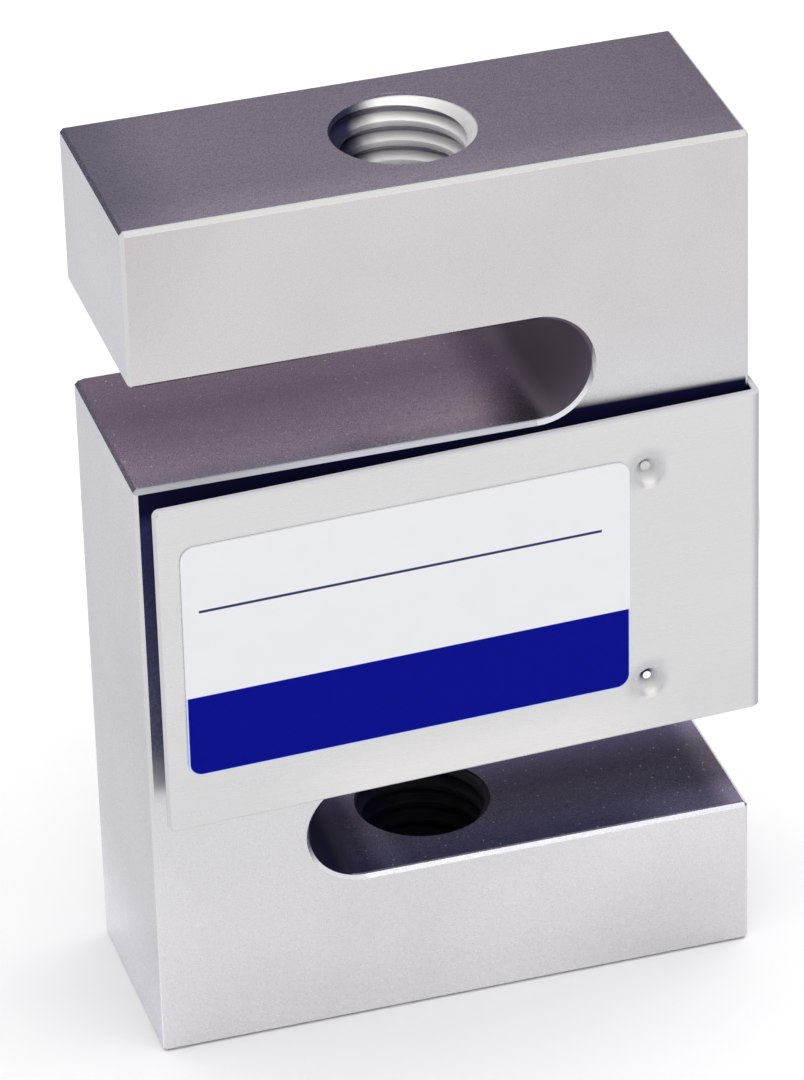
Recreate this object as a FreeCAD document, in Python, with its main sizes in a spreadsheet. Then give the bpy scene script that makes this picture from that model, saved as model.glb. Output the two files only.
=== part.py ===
# S-type load cell, built as a parametric FreeCAD document.
#
# Frame: millimetres, +Z up along the load axis, +X along the width, +Y from the labelled front to the rear.
# The origin is the mouth of the lower load thread, at the centre of the block's bottom face.
#
# The spring element is one steel block.  Two slots, cut from opposite sides, leave an upper arm, a middle
# block and a lower arm.  Two gauge bores, joined by a link slot, thin the middle block to four webs, and a
# strain gauge sits on each.  A folded cover, pinned beside the right-hand column only, guards the cavity.
import FreeCAD, Part
import math
import os
import Sketcher

Vector = FreeCAD.Vector

# name, value, what it is.  Lengths are in millimetres and angles in degrees.
SIZES = [
    ("block_width", 50.8, "spring element, left to right"),
    ("block_depth", 19.05, "spring element, front to rear"),
    ("block_height", 76.2, "spring element, bottom to top"),
    ("arm_height", 13.6, "solid height of each arm"),
    ("slot_height", 9.2, "cutter diameter of the two slots"),
    ("column_width", 13.1, "steel left beside the end of each slot"),
    ("edge_chamfer", 0.3, "broken edges of the block"),
    ("thread_diameter", 12.0, "load threads, major diameter"),
    ("thread_mouth_diameter", 12.8, "countersink of a load thread at the outer face"),
    ("thread_exit_diameter", 12.4, "countersink of a load thread at the slot"),
    ("gauge_bore_diameter", 17.0, "the two bores that thin the webs"),
    ("gauge_bore_spacing", 21.0, "centre to centre"),
    ("link_slot_height", 9.0, "slot that joins the gauge bores"),
    ("sealant_depth", 2.5, "thickness of a cavity plug"),
    ("sealant_recess", 0.2, "how far a plug sits below the block's face"),
    ("cover_thickness", 0.6, "sheet"),
    ("cover_height", 29.7, "height of the cover"),
    ("cover_rise", 0.57, "cover's middle above the block's middle"),
    ("cover_gap_bend", 0.8, "stand-off of the front panel at the folded end"),
    ("cover_gap_free", 3.2, "stand-off of the front panel at the free end"),
    ("cover_gap_rear", 0.3, "stand-off of the rear panel"),
    ("cover_free_inset", 0.52, "free edge in from the block's left end"),
    ("cover_bend_radius", 0.3, "inside radius of the folds"),
    ("cover_corner_radius", 0.55, "rounded corners of the free ends"),
    ("cover_edge_bevel", 0.18, "broken outer edge of the sheet"),
    ("pin_diameter", 0.8, "drive pins of the cover"),
    ("pin_depth", 3.5, "length of a pin in the block"),
    ("pin_proud", 0.83, "length of a pin outside the block's face"),
    ("pin_setback", 9.07, "pin axis in from the block's right end"),
    ("pin_spacing", 19.72, "upper pin to lower pin"),
    ("pin_rise", 0.27, "middle of the two pins above the block's middle"),
    ("dimple_mouth_diameter", 2.5, "rim of a dimple"),
    ("dimple_floor_diameter", 1.2, "floor of a dimple"),
    ("dimple_easing", 0.2, "rounding of a dimple's rim and floor"),
    ("dimple_floor_thickness", 0.5, "sheet left under a dimple's floor"),
    ("dimple_seat_diameter", 2.4, "foot of a dimple on the block"),
    ("dimple_root_diameter", 3.4, "where a dimple leaves the panel, inside"),
    ("label_width", 37.6, "label"),
    ("label_height", 21.1, "label"),
    ("label_thickness", 0.15, "label"),
    ("label_corner_radius", 1.2, "label"),
    ("label_inset", 1.8, "label's left edge in from the cover's free edge"),
    ("label_rise", 4.95, "label's lower left corner above the cover's lower edge"),
    ("label_skew", 0.3, "the label sits a little crooked, right side low"),
    ("gauge_length", 8.0, "gauge carrier along the bore"),
    ("gauge_half_angle", 17.0, "half the arc that a gauge covers"),
    ("gauge_thickness", 0.12, "gauge carrier"),
    ("gauge_tab_half_angle", 4.0, "half the arc of a solder tab"),
    ("gauge_tab_width", 1.0, "solder tab of a gauge, along the bore"),
    ("gauge_tab_thickness", 0.1, "solder tab of a gauge"),
    ("gauge_tab_offset", 1.2, "first tab from the gauge's middle, along the bore"),
    ("gauge_tab_spacing", 1.6, "first tab to second tab, along the bore"),
    ("board_width", 6.0, "terminal board"),
    ("board_end_clearance", 0.325, "gap between an end of the board and the plug beside it"),
    ("board_thickness", 0.8, "terminal board"),
    ("pad_thickness", 0.5, "adhesive pad under the board"),
    ("pad_margin", 0.4, "pad in from the board's edges"),
    ("terminal_size", 1.0, "square solder pad"),
    ("terminal_height", 0.25, "solder pad"),
    ("terminal_inset", 0.75, "middle of a solder pad in from the board's long edge"),
    ("resistor_length", 2.0, "bridge resistors, across the board"),
    ("resistor_width", 1.25, "bridge resistors"),
    ("resistor_height", 0.5, "bridge resistors"),
    ("resistor_cap_length", 0.4, "metal end caps of the resistors"),
    ("resistor_cap_step", 0.05, "how far a cap stands proud of the ceramic"),
    ("resistor_spacing", 4.6, "resistor to resistor"),
    ("lead_width", 0.5, "flat lead of a gauge, along the bore"),
    ("lead_thickness", 0.15, "flat lead of a gauge"),
    ("lead_bend_radius", 0.8, "inside of the bends of a lead"),
    ("lead_level", 1.0, "level run of a lead above the block's middle"),
    ("gland_thread_diameter", 10.0, "cable inlet, major diameter"),
    ("gland_pocket_depth", 5.2, "depth of the inlet pocket in the block"),
    ("gland_seal_length", 2.2, "rubber seal"),
    ("gland_washer_thickness", 0.5, "washer on the seal"),
    ("gland_head_diameter", 13.0, "head of the hollow screw"),
    ("gland_head_thickness", 1.6, "head of the hollow screw"),
    ("gland_bore_diameter", 5.4, "cable way through screw, washer and block"),
    ("gland_bore_flare", 0.4, "bevel at the mouth of the cable way"),
    ("gland_seal_bore", 5.0, "cable way through the rubber seal"),
    ("gland_head_bevel", 0.4, "broken edge of the head"),
    ("gland_slot_width", 1.4, "driving slot of the screw"),
    ("gland_slot_depth", 0.7, "driving slot of the screw"),
    ("gland_play", 0.05, "radial play of the screw and washer"),
    ("gland_cover_play", 0.3, "radial play of the screw in the cover's hole"),
]


class Size:
    """A number together with the spreadsheet expression that gives it."""

    def __init__(self, value, text):
        self.value = float(value)
        self.text = text

    def __add__(self, other):
        other = as_size(other)
        return Size(self.value + other.value, f"({self.text} + {other.text})")

    def __sub__(self, other):
        other = as_size(other)
        return Size(self.value - other.value, f"({self.text} - {other.text})")

    def __mul__(self, other):
        other = as_size(other)
        return Size(self.value * other.value, f"({self.text} * {other.text})")

    def __truediv__(self, other):
        other = as_size(other)
        return Size(self.value / other.value, f"({self.text} / {other.text})")

    def __neg__(self):
        return self * -1


def as_size(number):
    """Let plain numbers stand beside sizes in a sum."""
    return number if isinstance(number, Size) else Size(number, repr(number))


def root(size):
    return Size(math.sqrt(size.value), f"sqrt({size.text})")


def sine(angle):
    return Size(math.sin(math.radians(angle.value)), f"sin({angle.text})")


def cosine(angle):
    return Size(math.cos(math.radians(angle.value)), f"cos({angle.text})")


def slope_angle(rise, run):
    """Angle, in degrees, of a line that climbs by rise over run."""
    return Size(math.degrees(math.atan2(rise.value, run.value)), f"atan({rise.text} / {run.text})")


doc = FreeCAD.newDocument("s_type_load_cell")
sheet = doc.addObject("Spreadsheet::Sheet", "Sizes")
cell = {}
nodes = {}
for row, (name, value, note) in enumerate(SIZES, start=1):
    sheet.set(f"A{row}", name)
    sheet.set(f"B{row}", str(value))
    sheet.setAlias(f"B{row}", name)
    sheet.set(f"C{row}", note)
    cell[name] = Size(value, f"Sizes.{name}")
doc.recompute()

# ---------------------------------------------------------------- shared places
ZERO = as_size(0)
half_width = cell["block_width"] / 2
half_depth = cell["block_depth"] / 2
half_height = cell["block_height"] / 2
slot_radius = cell["slot_height"] / 2
gauge_bore_radius = cell["gauge_bore_diameter"] / 2
gauge_bore_offset = cell["gauge_bore_spacing"] / 2
half_link = cell["link_slot_height"] / 2
gland_bore_radius = cell["gland_bore_diameter"] / 2
gland_thread_radius = cell["gland_thread_diameter"] / 2
board_seat = half_height - half_link
board_top = board_seat + cell["pad_thickness"] + cell["board_thickness"]
board_half_width = cell["board_width"] / 2
board_reach = half_depth - cell["sealant_recess"] - cell["sealant_depth"] - cell["board_end_clearance"]
terminal_across = board_half_width - cell["terminal_inset"]
pin_radius = cell["pin_diameter"] / 2
pin_across = half_width - cell["pin_setback"]
cover_middle = half_height + cell["cover_rise"]
cover_base = cover_middle - cell["cover_height"] / 2
pin_low = half_height + cell["pin_rise"] - cell["pin_spacing"] / 2

# The front panel of the cover leans out from the fold to its free end; the rear one is level with the block.
panel_run = cell["block_width"] - cell["cover_free_inset"]
panel_fall = cell["cover_gap_free"] - cell["cover_gap_bend"]
panel_length = root(panel_run * panel_run + panel_fall * panel_fall)
lean_cosine = panel_run / panel_length
lean_sine = panel_fall / panel_length
lean_angle = slope_angle(panel_fall, panel_run)
free_across = cell["cover_free_inset"] - half_width
free_depth = half_depth + cell["cover_gap_free"]
free_outer_across = free_across + cell["cover_thickness"] * lean_sine
free_outer_depth = free_depth + cell["cover_thickness"] * lean_cosine
pin_gap = cell["cover_gap_bend"] + panel_fall * cell["pin_setback"] / panel_run
rear_inner = half_depth + cell["cover_gap_rear"]
rear_outer = rear_inner + cell["cover_thickness"]


# ---------------------------------------------------------------- sketches and features
def new_body(label, across=ZERO, depth=ZERO, up=ZERO, axis="Z", turn=0):
    """Start a sub-part at a place tied to the sheet, turned by a fixed angle about one axis."""
    body = doc.addObject("PartDesign::Body", label)
    body.Label = label
    put(body, across, depth, up, axis, turn)
    return body


def put(item, across, depth, up, axis="Z", turn=0):
    """Tie an object's place to the sheet; turn is an angle in degrees about the named axis."""
    direction = {"X": Vector(1, 0, 0), "Y": Vector(0, 1, 0), "Z": Vector(0, 0, 1)}[axis]
    turn = as_size(turn)
    item.Placement = FreeCAD.Placement(Vector(0, 0, 0), FreeCAD.Rotation(direction, turn.value))
    for letter, size in zip("xyz", (across, depth, up)):
        item.setExpression(f"Placement.Base.{letter}", size.text)
    if turn.text != "0":
        item.setExpression("Placement.Rotation.Angle", turn.text)


def origin_item(body, role):
    """One of the body's own origin planes or axes, such as XZ_Plane or Z_Axis."""
    return next(item for item in body.Origin.OriginFeatures if item.Role == role)


def new_sketch(body, name, role, across=ZERO, up=ZERO, lift=ZERO, turn=None):
    """Attach a sketch to an origin plane, shifted in the plane and lifted along its normal."""
    sketch = body.newObject("Sketcher::SketchObject", f"{body.Name}_{name}")
    sketch.AttachmentSupport = [(origin_item(body, role), "")]
    sketch.MapMode = "FlatFace"
    for letter, size in zip("xyz", (across, up, lift)):
        if size is not ZERO:
            sketch.setExpression(f"AttachmentOffset.Base.{letter}", size.text)
    if turn is not None:
        rotation = FreeCAD.Rotation(Vector(0, 0, 1), turn.value)
        sketch.AttachmentOffset = FreeCAD.Placement(Vector(0, 0, 0), rotation)
        sketch.setExpression("AttachmentOffset.Rotation.Angle", turn.text)
    return sketch


def tie(sketch, constraint, size):
    """Add a dimension and bind it to its expression."""
    number = sketch.addConstraint(constraint)
    label = f"dimension_{number}"
    sketch.renameConstraint(number, label)
    sketch.setExpression(f"Constraints.{label}", size.text)


def fix_point(sketch, item, vertex, across, up):
    """Hold a vertex at its two distances from the sketch's origin."""
    tie(sketch, Sketcher.Constraint("DistanceX", -1, 1, item, vertex, across.value), across)
    tie(sketch, Sketcher.Constraint("DistanceY", -1, 1, item, vertex, up.value), up)


def draw_outline(sketch, points, arcs=None):
    """Draw a closed outline through the points.

    arcs maps the number of an edge to (centre across, centre up, turn), where turn is "left" for an arc that
    runs anticlockwise from its first point to its second and "right" for one that runs clockwise.
    """
    arcs = arcs or {}
    count = len(points)
    starts = {}
    ends = {}
    for edge in range(count):
        first = Vector(points[edge][0].value, points[edge][1].value, 0)
        last = Vector(points[(edge + 1) % count][0].value, points[(edge + 1) % count][1].value, 0)
        starts[edge], ends[edge] = 1, 2
        if edge in arcs:
            across, up, turn = arcs[edge]
            centre = Vector(across.value, up.value, 0)
            if turn == "right":
                first, last = last, first
                starts[edge], ends[edge] = 2, 1
            angles = [math.atan2(spot.y - centre.y, spot.x - centre.x) for spot in (first, last)]
            circle = Part.Circle(centre, Vector(0, 0, 1), (first - centre).Length)
            sketch.addGeometry(Part.ArcOfCircle(circle, angles[0], angles[1]), False)
        else:
            sketch.addGeometry(Part.LineSegment(first, last), False)
    for edge in range(count):
        following = (edge + 1) % count
        sketch.addConstraint(
            Sketcher.Constraint("Coincident", edge, ends[edge], following, starts[following])
        )
        fix_point(sketch, edge, starts[edge], *points[edge])
    for edge, (across, up, turn) in arcs.items():
        first, last = points[edge], points[(edge + 1) % count]
        wide = abs(last[0].value - first[0].value) > abs(last[1].value - first[1].value)
        if wide:
            tie(sketch, Sketcher.Constraint("DistanceY", -1, 1, edge, 3, up.value), up)
        else:
            tie(sketch, Sketcher.Constraint("DistanceX", -1, 1, edge, 3, across.value), across)


def draw_rectangle(sketch, left, right, low, high):
    draw_outline(sketch, [(left, low), (right, low), (right, high), (left, high)])


def moved(point, step, distance):
    """A point shifted by a distance along a level or upright step, such as (1, 0)."""
    across = point[0] + distance * step[0] if step[0] else point[0]
    up = point[1] + distance * step[1] if step[1] else point[1]
    return across, up


def draw_strip(sketch, route, thickness, bend):
    """A strip of even thickness whose middle follows level and upright runs, with rounded corners.

    bend is the radius on the inside of a corner.
    """
    half = thickness / 2
    reach = half + bend
    steps = []
    for first, last in zip(route, route[1:]):
        across, up = last[0].value - first[0].value, last[1].value - first[1].value
        steps.append((0, math.copysign(1, up)) if abs(up) > abs(across) else (math.copysign(1, across), 0))
    rails = {1: [], -1: []}
    stops = [(route[0], steps[0])]
    bends = []
    for corner, before, after in zip(route[1:], steps, steps[1:]):
        start, end = moved(corner, before, -reach), moved(corner, after, reach)
        stops += [(start, before), (end, after)]
        bends.append((moved(start, after, reach), before[0] * after[1] > before[1] * after[0]))
    stops.append((route[-1], steps[-1]))
    for hand, rail in rails.items():
        for point, step in stops:
            rail.append(moved(point, (-step[1], step[0]), half * hand))
    arcs = {}
    for number, (centre, leftward) in enumerate(bends):
        arcs[2 * number + 1] = (*centre, "left" if leftward else "right")
        arcs[2 * len(stops) - 3 - 2 * number] = (*centre, "right" if leftward else "left")
    draw_outline(sketch, rails[1] + rails[-1][::-1], arcs)


def draw_circle(sketch, across, up, radius):
    circle = Part.Circle(Vector(across.value, up.value, 0), Vector(0, 0, 1), radius.value)
    number = sketch.addGeometry(circle, False)
    fix_point(sketch, number, 3, across, up)
    tie(sketch, Sketcher.Constraint("Radius", number, radius.value), radius)


def new_feature(body, kind, name, **settings):
    """Add a PartDesign feature and check that it changes the solid."""
    before = body.Shape.Volume if body.Tip else 0.0
    feature = body.newObject(f"PartDesign::{kind}", f"{body.Name}_{name}")
    for key, setting in settings.items():
        if isinstance(setting, Size):
            feature.setExpression(key, setting.text)
        else:
            setattr(feature, key, setting)
    body.Tip = feature
    doc.recompute()
    change = body.Shape.Volume - before
    wrong_way = {"Pad": change < 0, "Revolution": change < 0, "Pocket": change > 0, "Groove": change > 0}
    if abs(change) < 1e-6 or wrong_way.get(kind, False):
        raise RuntimeError(f"{feature.Name} changed the solid by {change:.4f} cubic millimetres")
    return feature


def pad(body, name, sketch, length, side="One side"):
    return new_feature(body, "Pad", name, Profile=sketch, SideType=side, Length=length)


def cut(body, name, sketch, length):
    return new_feature(body, "Pocket", name, Profile=sketch, Length=length)


def cut_through(body, name, sketch):
    return new_feature(body, "Pocket", name, Profile=sketch, SideType="Symmetric", Type="ThroughAll")


def turned(body, kind, name, sketch, axis):
    """Revolution or Groove right round an axis: a sketch axis name, or a role of the body's origin."""
    support = (sketch, [axis]) if axis.startswith("V_") else (origin_item(body, axis), [""])
    return new_feature(body, kind, name, Profile=sketch, ReferenceAxis=support, Angle=360.0)


def half_turn_copy(body, name, originals):
    """Repeat features half a turn about the body's Y axis."""
    axis = (origin_item(body, "Y_Axis"), [""])
    return new_feature(body, "PolarPattern", name, Originals=originals, Axis=axis, Angle=360.0, Occurrences=2)


def repeat_along(body, name, originals, role, length):
    """Repeat features once, a length further along one of the body's axes."""
    axis = (origin_item(body, role), [""])
    return new_feature(
        body, "LinearPattern", name, Originals=originals, Direction=axis, Length=length, Occurrences=2
    )


def mirrored(body, name, **settings):
    """Mirror features, or the whole shape, across the body's front-to-rear middle plane."""
    plane = (origin_item(body, "XZ_Plane"), [""])
    return new_feature(body, "Mirrored", name, MirrorPlane=plane, **settings)


def edges_where(shape, keep):
    """Names of the edges whose two end points satisfy keep."""
    names = []
    for number, edge in enumerate(shape.Edges, start=1):
        ends = [vertex.Point for vertex in edge.Vertexes]
        if len(ends) == 2 and keep(ends[0], ends[1]):
            names.append(f"Edge{number}")
    return names


def near(first, second):
    return abs(first - second) < 1e-4


def as_node(item, solids=1):
    """List an object for export, with the number of solids that it must have."""
    nodes[item.Label] = (item, solids)
    return item


def group(label, members):
    """Several like solids under one name."""
    compound = doc.addObject("Part::Compound", label)
    compound.Label = label
    compound.Links = members
    return as_node(compound, len(members))


# ---------------------------------------------------------------- spring element
def draw_cavity(sketch):
    """Two gauge bores joined by the link slot, about the centre of the block."""
    reach = gauge_bore_offset - root(gauge_bore_radius * gauge_bore_radius - half_link * half_link)
    points = [(-reach, -half_link), (reach, -half_link), (reach, half_link), (-reach, half_link)]
    arcs = {1: (gauge_bore_offset, ZERO, "left"), 3: (-gauge_bore_offset, ZERO, "left")}
    draw_outline(sketch, points, arcs)


def make_spring_element():
    """The one-piece S: block, slots, edges, gauge cavity, load threads, pin holes and cable inlet."""
    body = new_body("body", up=half_height)

    block = new_sketch(body, "block_outline", "XZ_Plane")
    draw_rectangle(block, -half_width, half_width, -half_height, half_height)
    pad(body, "block", block, cell["block_depth"], "Symmetric")

    slot = new_sketch(body, "slot_outline", "XZ_Plane")
    slot_level = half_height - cell["arm_height"] - slot_radius
    slot_end = half_width - cell["column_width"] - slot_radius
    low, high = slot_level - slot_radius, slot_level + slot_radius
    mouth = -half_width - slot_radius
    draw_outline(
        slot,
        [(mouth, low), (slot_end, low), (slot_end, high), (mouth, high)],
        {1: (slot_end, slot_level, "left")},
    )
    upper_slot = cut_through(body, "upper_slot", slot)
    half_turn_copy(body, "lower_slot", [upper_slot])

    face, side = half_depth.value, half_width.value
    rims = edges_where(
        body.Shape,
        lambda a, b: (near(abs(a.y), face) and near(a.y, b.y)) or (near(abs(a.x), side) and near(a.x, b.x)),
    )
    new_feature(body, "Chamfer", "edges", Base=(body.Tip, rims), Size=cell["edge_chamfer"])

    cavity = new_sketch(body, "cavity_outline", "XZ_Plane")
    draw_cavity(cavity)
    cut_through(body, "gauge_cavity", cavity)

    thread = new_sketch(body, "thread_section", "XZ_Plane")
    radius, mouth_radius = cell["thread_diameter"] / 2, cell["thread_mouth_diameter"] / 2
    exit_radius = cell["thread_exit_diameter"] / 2
    top, underside = half_height, half_height - cell["arm_height"]
    draw_outline(
        thread,
        [
            (ZERO, underside),
            (exit_radius, underside),
            (radius, underside + exit_radius - radius),
            (radius, top - mouth_radius + radius),
            (mouth_radius, top),
            (ZERO, top),
        ],
    )
    upper_thread = turned(body, "Groove", "upper_thread", thread, "Z_Axis")
    half_turn_copy(body, "lower_thread", [upper_thread])

    holes = new_sketch(body, "pin_holes", "XZ_Plane", lift=half_depth)
    for step in (-0.5, 0.5):
        draw_circle(holes, pin_across, cell["pin_rise"] + cell["pin_spacing"] * step, pin_radius)
    front_holes = cut(body, "front_pin_holes", holes, cell["pin_depth"])
    mirrored(body, "rear_pin_holes", Originals=[front_holes])

    inlet = new_sketch(body, "inlet_section", "XZ_Plane")
    floor = half_width - cell["gland_pocket_depth"]
    draw_outline(
        inlet,
        [
            (gauge_bore_offset, ZERO),
            (half_width, ZERO),
            (half_width, gland_thread_radius),
            (floor, gland_thread_radius),
            (floor, gland_bore_radius),
            (gauge_bore_offset, gland_bore_radius),
        ],
    )
    turned(body, "Groove", "cable_inlet", inlet, "X_Axis")
    return as_node(body)


# ---------------------------------------------------------------- cover, pins, label
def make_cover():
    """One sheet folded round the right end of the block, with two dimples pressed into each panel."""
    body = new_body("cover")
    gauge = cell["cover_thickness"]
    bend = cell["cover_bend_radius"]
    along = (panel_run - bend + bend * lean_sine) / lean_cosine
    bend_across, rear_bend = half_width - bend, rear_inner - bend
    bend_depth = free_depth - along * lean_sine - bend * lean_cosine
    inner_end = (free_across + along * lean_cosine, along * lean_sine - free_depth)
    outer_end = (inner_end[0] + gauge * lean_sine, inner_end[1] - gauge * lean_cosine)
    skin = half_width + gauge
    section = new_sketch(body, "section", "XY_Plane", lift=cover_base)
    draw_outline(
        section,
        [
            (free_across, -free_depth),
            inner_end,
            (half_width, -bend_depth),
            (half_width, rear_bend),
            (bend_across, rear_inner),
            (free_across, rear_inner),
            (free_across, rear_outer),
            (bend_across, rear_outer),
            (skin, rear_bend),
            (skin, -bend_depth),
            outer_end,
            (free_outer_across, -free_outer_depth),
        ],
        {
            1: (bend_across, -bend_depth, "left"),
            3: (bend_across, rear_bend, "left"),
            7: (bend_across, rear_bend, "right"),
            9: (bend_across, -bend_depth, "right"),
        },
    )
    pad(body, "sheet", section, cell["cover_height"])

    end = free_outer_across.value + 1e-4
    corners = edges_where(
        body.Shape,
        lambda a, b: max(a.x, b.x) < end and near(a.z, b.z) and not near(a.y, b.y),
    )
    new_feature(body, "Fillet", "corners", Base=(body.Tip, corners), Radius=cell["cover_corner_radius"])

    def outside(point):
        across, depth = point.x - free_outer_across.value, point.y + free_outer_depth.value
        on_front = near(across * lean_sine.value, depth * lean_cosine.value)
        return on_front or near(point.x, skin.value) or near(point.y, rear_outer.value)

    rims = edges_where(
        body.Shape,
        lambda a, b: outside(a) and outside(b) and (min(a.x, b.x) < end or near(a.z, b.z)),
    )
    new_feature(body, "Chamfer", "rims", Base=(body.Tip, rims), Size=cell["cover_edge_bevel"])

    press_dimples(body, "front", -1, half_depth + pin_gap, gauge / lean_cosine)
    press_dimples(body, "rear", 1, rear_inner, gauge)
    hole = new_sketch(body, "inlet_hole", "YZ_Plane")
    draw_circle(hole, ZERO, half_height, gland_thread_radius + cell["gland_cover_play"])
    cut_through(body, "inlet_clearance", hole)
    return as_node(body)


def press_dimples(body, name, side, inside, gauge):
    """Two dimples in one panel, each seated on the block and bored for its pin.

    side is -1 for the front and 1 for the rear, and inside is the panel's inner face from the middle plane.
    """
    outside = inside + gauge
    root_radius, seat_radius = cell["dimple_root_diameter"] / 2, cell["dimple_seat_diameter"] / 2
    section = new_sketch(body, f"{name}_swell_section", "XY_Plane", across=pin_across, lift=pin_low)
    swell = [
        (ZERO, half_depth),
        (seat_radius, half_depth),
        (root_radius, inside),
        (root_radius, inside + gauge / 2),
        (ZERO, inside + gauge / 2),
    ]
    draw_outline(section, [(across, depth * side) for across, depth in swell])
    pressed = turned(body, "Revolution", f"{name}_swell", section, "V_Axis")

    floor = half_depth + cell["dimple_floor_thickness"]
    floor_radius, rim_radius = cell["dimple_floor_diameter"] / 2, cell["dimple_mouth_diameter"] / 2
    fall, run = outside - floor, rim_radius - floor_radius
    wall = root(fall * fall + run * run)
    easing = cell["dimple_easing"]
    inward, upward = easing * run / wall, easing * fall / wall
    section = new_sketch(body, f"{name}_bowl_section", "XY_Plane", across=pin_across, lift=pin_low)
    bowl = [
        (ZERO, half_depth),
        (pin_radius, half_depth),
        (pin_radius, floor),
        (floor_radius - easing, floor),
        (floor_radius + inward, floor + upward),
        (rim_radius - inward, outside - upward),
        (rim_radius + easing * 2 + inward, outside + upward),
        (ZERO, outside + upward),
    ]
    draw_outline(section, [(across, depth * side) for across, depth in bowl])
    hollowed = turned(body, "Groove", f"{name}_bowl", section, "V_Axis")
    repeat_along(body, f"{name}_upper_dimple", [pressed, hollowed], "Z_Axis", cell["pin_spacing"])


def make_cover_pins():
    """Four straight pins, driven through the dimples into the block."""
    length = cell["pin_depth"] + cell["pin_proud"]
    pins = []
    for side, tip in (("front", -(half_depth + cell["pin_proud"])), ("rear", half_depth - cell["pin_depth"])):
        for level, step in (("low", 0), ("high", 1)):
            pin = doc.addObject("Part::Cylinder", f"pin_{side}_{level}")
            pin.setExpression("Radius", pin_radius.text)
            pin.setExpression("Height", length.text)
            put(pin, pin_across, tip, pin_low + cell["pin_spacing"] * step, "X", -90)
            pins.append(pin)
    return group("cover_pins", pins)


def make_label():
    """A thin plate with rounded corners, a little crooked on the front panel."""
    body = new_body("label", free_outer_across, -free_outer_depth, cover_base, "Z", lean_angle)
    shape = new_sketch(
        body, "outline", "XZ_Plane", cell["label_inset"], cell["label_rise"], turn=-cell["label_skew"]
    )
    wide, high, corner = cell["label_width"], cell["label_height"], cell["label_corner_radius"]
    draw_outline(
        shape,
        [
            (corner, ZERO),
            (wide - corner, ZERO),
            (wide, corner),
            (wide, high - corner),
            (wide - corner, high),
            (corner, high),
            (ZERO, high - corner),
            (ZERO, corner),
        ],
        {
            1: (wide - corner, corner, "left"),
            3: (wide - corner, high - corner, "left"),
            5: (corner, high - corner, "left"),
            7: (corner, corner, "left"),
        },
    )
    pad(body, "plate", shape, cell["label_thickness"])
    return as_node(body)


# ---------------------------------------------------------------- inside the gauge cavity
def make_sealant(label, turn):
    """A plug of sealant just below one face of the block, in the outline of the cavity."""
    body = new_body(label, up=half_height, turn=turn)
    inner = half_depth - cell["sealant_recess"] - cell["sealant_depth"]
    outline = new_sketch(body, "outline", "XZ_Plane", lift=inner)
    draw_cavity(outline)
    pad(body, "plug", outline, cell["sealant_depth"])
    return as_node(body)


def draw_arc_strip(sketch, inner, outer, half_angle):
    """A strip between two radii, centred on the sketch's upward axis."""
    across, up = sine(half_angle), cosine(half_angle)
    points = [
        (outer * across, outer * up),
        (-(outer * across), outer * up),
        (-(inner * across), inner * up),
        (inner * across, inner * up),
    ]
    draw_outline(sketch, points, {0: (ZERO, ZERO, "left"), 2: (ZERO, ZERO, "right")})


def make_gauge(label, side, axis, turn):
    """A foil gauge on its carrier, bonded to the bore wall at the thinnest point of a web."""
    body = new_body(label, gauge_bore_offset * side, ZERO, half_height, axis, turn)
    inner = gauge_bore_radius - cell["gauge_thickness"]
    carrier = new_sketch(body, "carrier_section", "XZ_Plane")
    draw_arc_strip(carrier, inner, gauge_bore_radius, cell["gauge_half_angle"])
    pad(body, "carrier", carrier, cell["gauge_length"], "Symmetric")
    tab = new_sketch(body, "tab_section", "XZ_Plane", lift=-cell["gauge_tab_offset"])
    draw_arc_strip(tab, inner - cell["gauge_tab_thickness"], inner, cell["gauge_tab_half_angle"])
    first = pad(body, "tab", tab, cell["gauge_tab_width"], "Symmetric")
    repeat_along(body, "second_tab", [first], "Y_Axis", cell["gauge_tab_spacing"])
    return as_node(body)


def make_box(name, width, length, height, across=ZERO, depth=ZERO, base=ZERO):
    """A rectangular piece whose base is centred on a point."""
    box = doc.addObject("Part::Box", name)
    box.Label = name
    box.setExpression("Length", width.text)
    box.setExpression("Width", length.text)
    box.setExpression("Height", height.text)
    put(box, across - width / 2, depth - length / 2, base)
    return box


def make_board():
    """The terminal board on its adhesive pad, with a solder pad for each lead."""
    margin = cell["pad_margin"] * 2
    width, length = cell["board_width"], board_reach * 2
    thickness = cell["pad_thickness"]
    as_node(make_box("board_pad", width - margin, length - margin, thickness, base=board_seat))
    base = board_seat + thickness
    as_node(make_box("terminal_board", width, length, cell["board_thickness"], base=base))
    pads = []
    size = cell["terminal_size"]
    for side in (-1, 1):
        for end in (-1, 1):
            for step in (0, 1):
                depth = (cell["gauge_tab_offset"] + cell["gauge_tab_spacing"] * step) * end
                name = f"solder_pad_{len(pads) + 1}"
                across = terminal_across * side
                pads.append(make_box(name, size, size, cell["terminal_height"], across, depth, board_top))
    group("board_terminals", pads)


def make_resistor(label, place):
    """A chip resistor across the board: a ceramic block between two metal caps."""
    body = new_body(label, depth=cell["resistor_spacing"] * place, up=board_top)
    section = new_sketch(body, "section", "XZ_Plane")
    tip = cell["resistor_length"] / 2
    neck = tip - cell["resistor_cap_length"]
    step, high = cell["resistor_cap_step"], cell["resistor_height"]
    draw_outline(
        section,
        [
            (-tip, ZERO),
            (-neck, ZERO),
            (-neck, step),
            (neck, step),
            (neck, ZERO),
            (tip, ZERO),
            (tip, high),
            (neck, high),
            (neck, high - step),
            (-neck, high - step),
            (-neck, high),
            (-tip, high),
        ],
    )
    pad(body, "chip", section, cell["resistor_width"], "Symmetric")
    return as_node(body)


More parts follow.
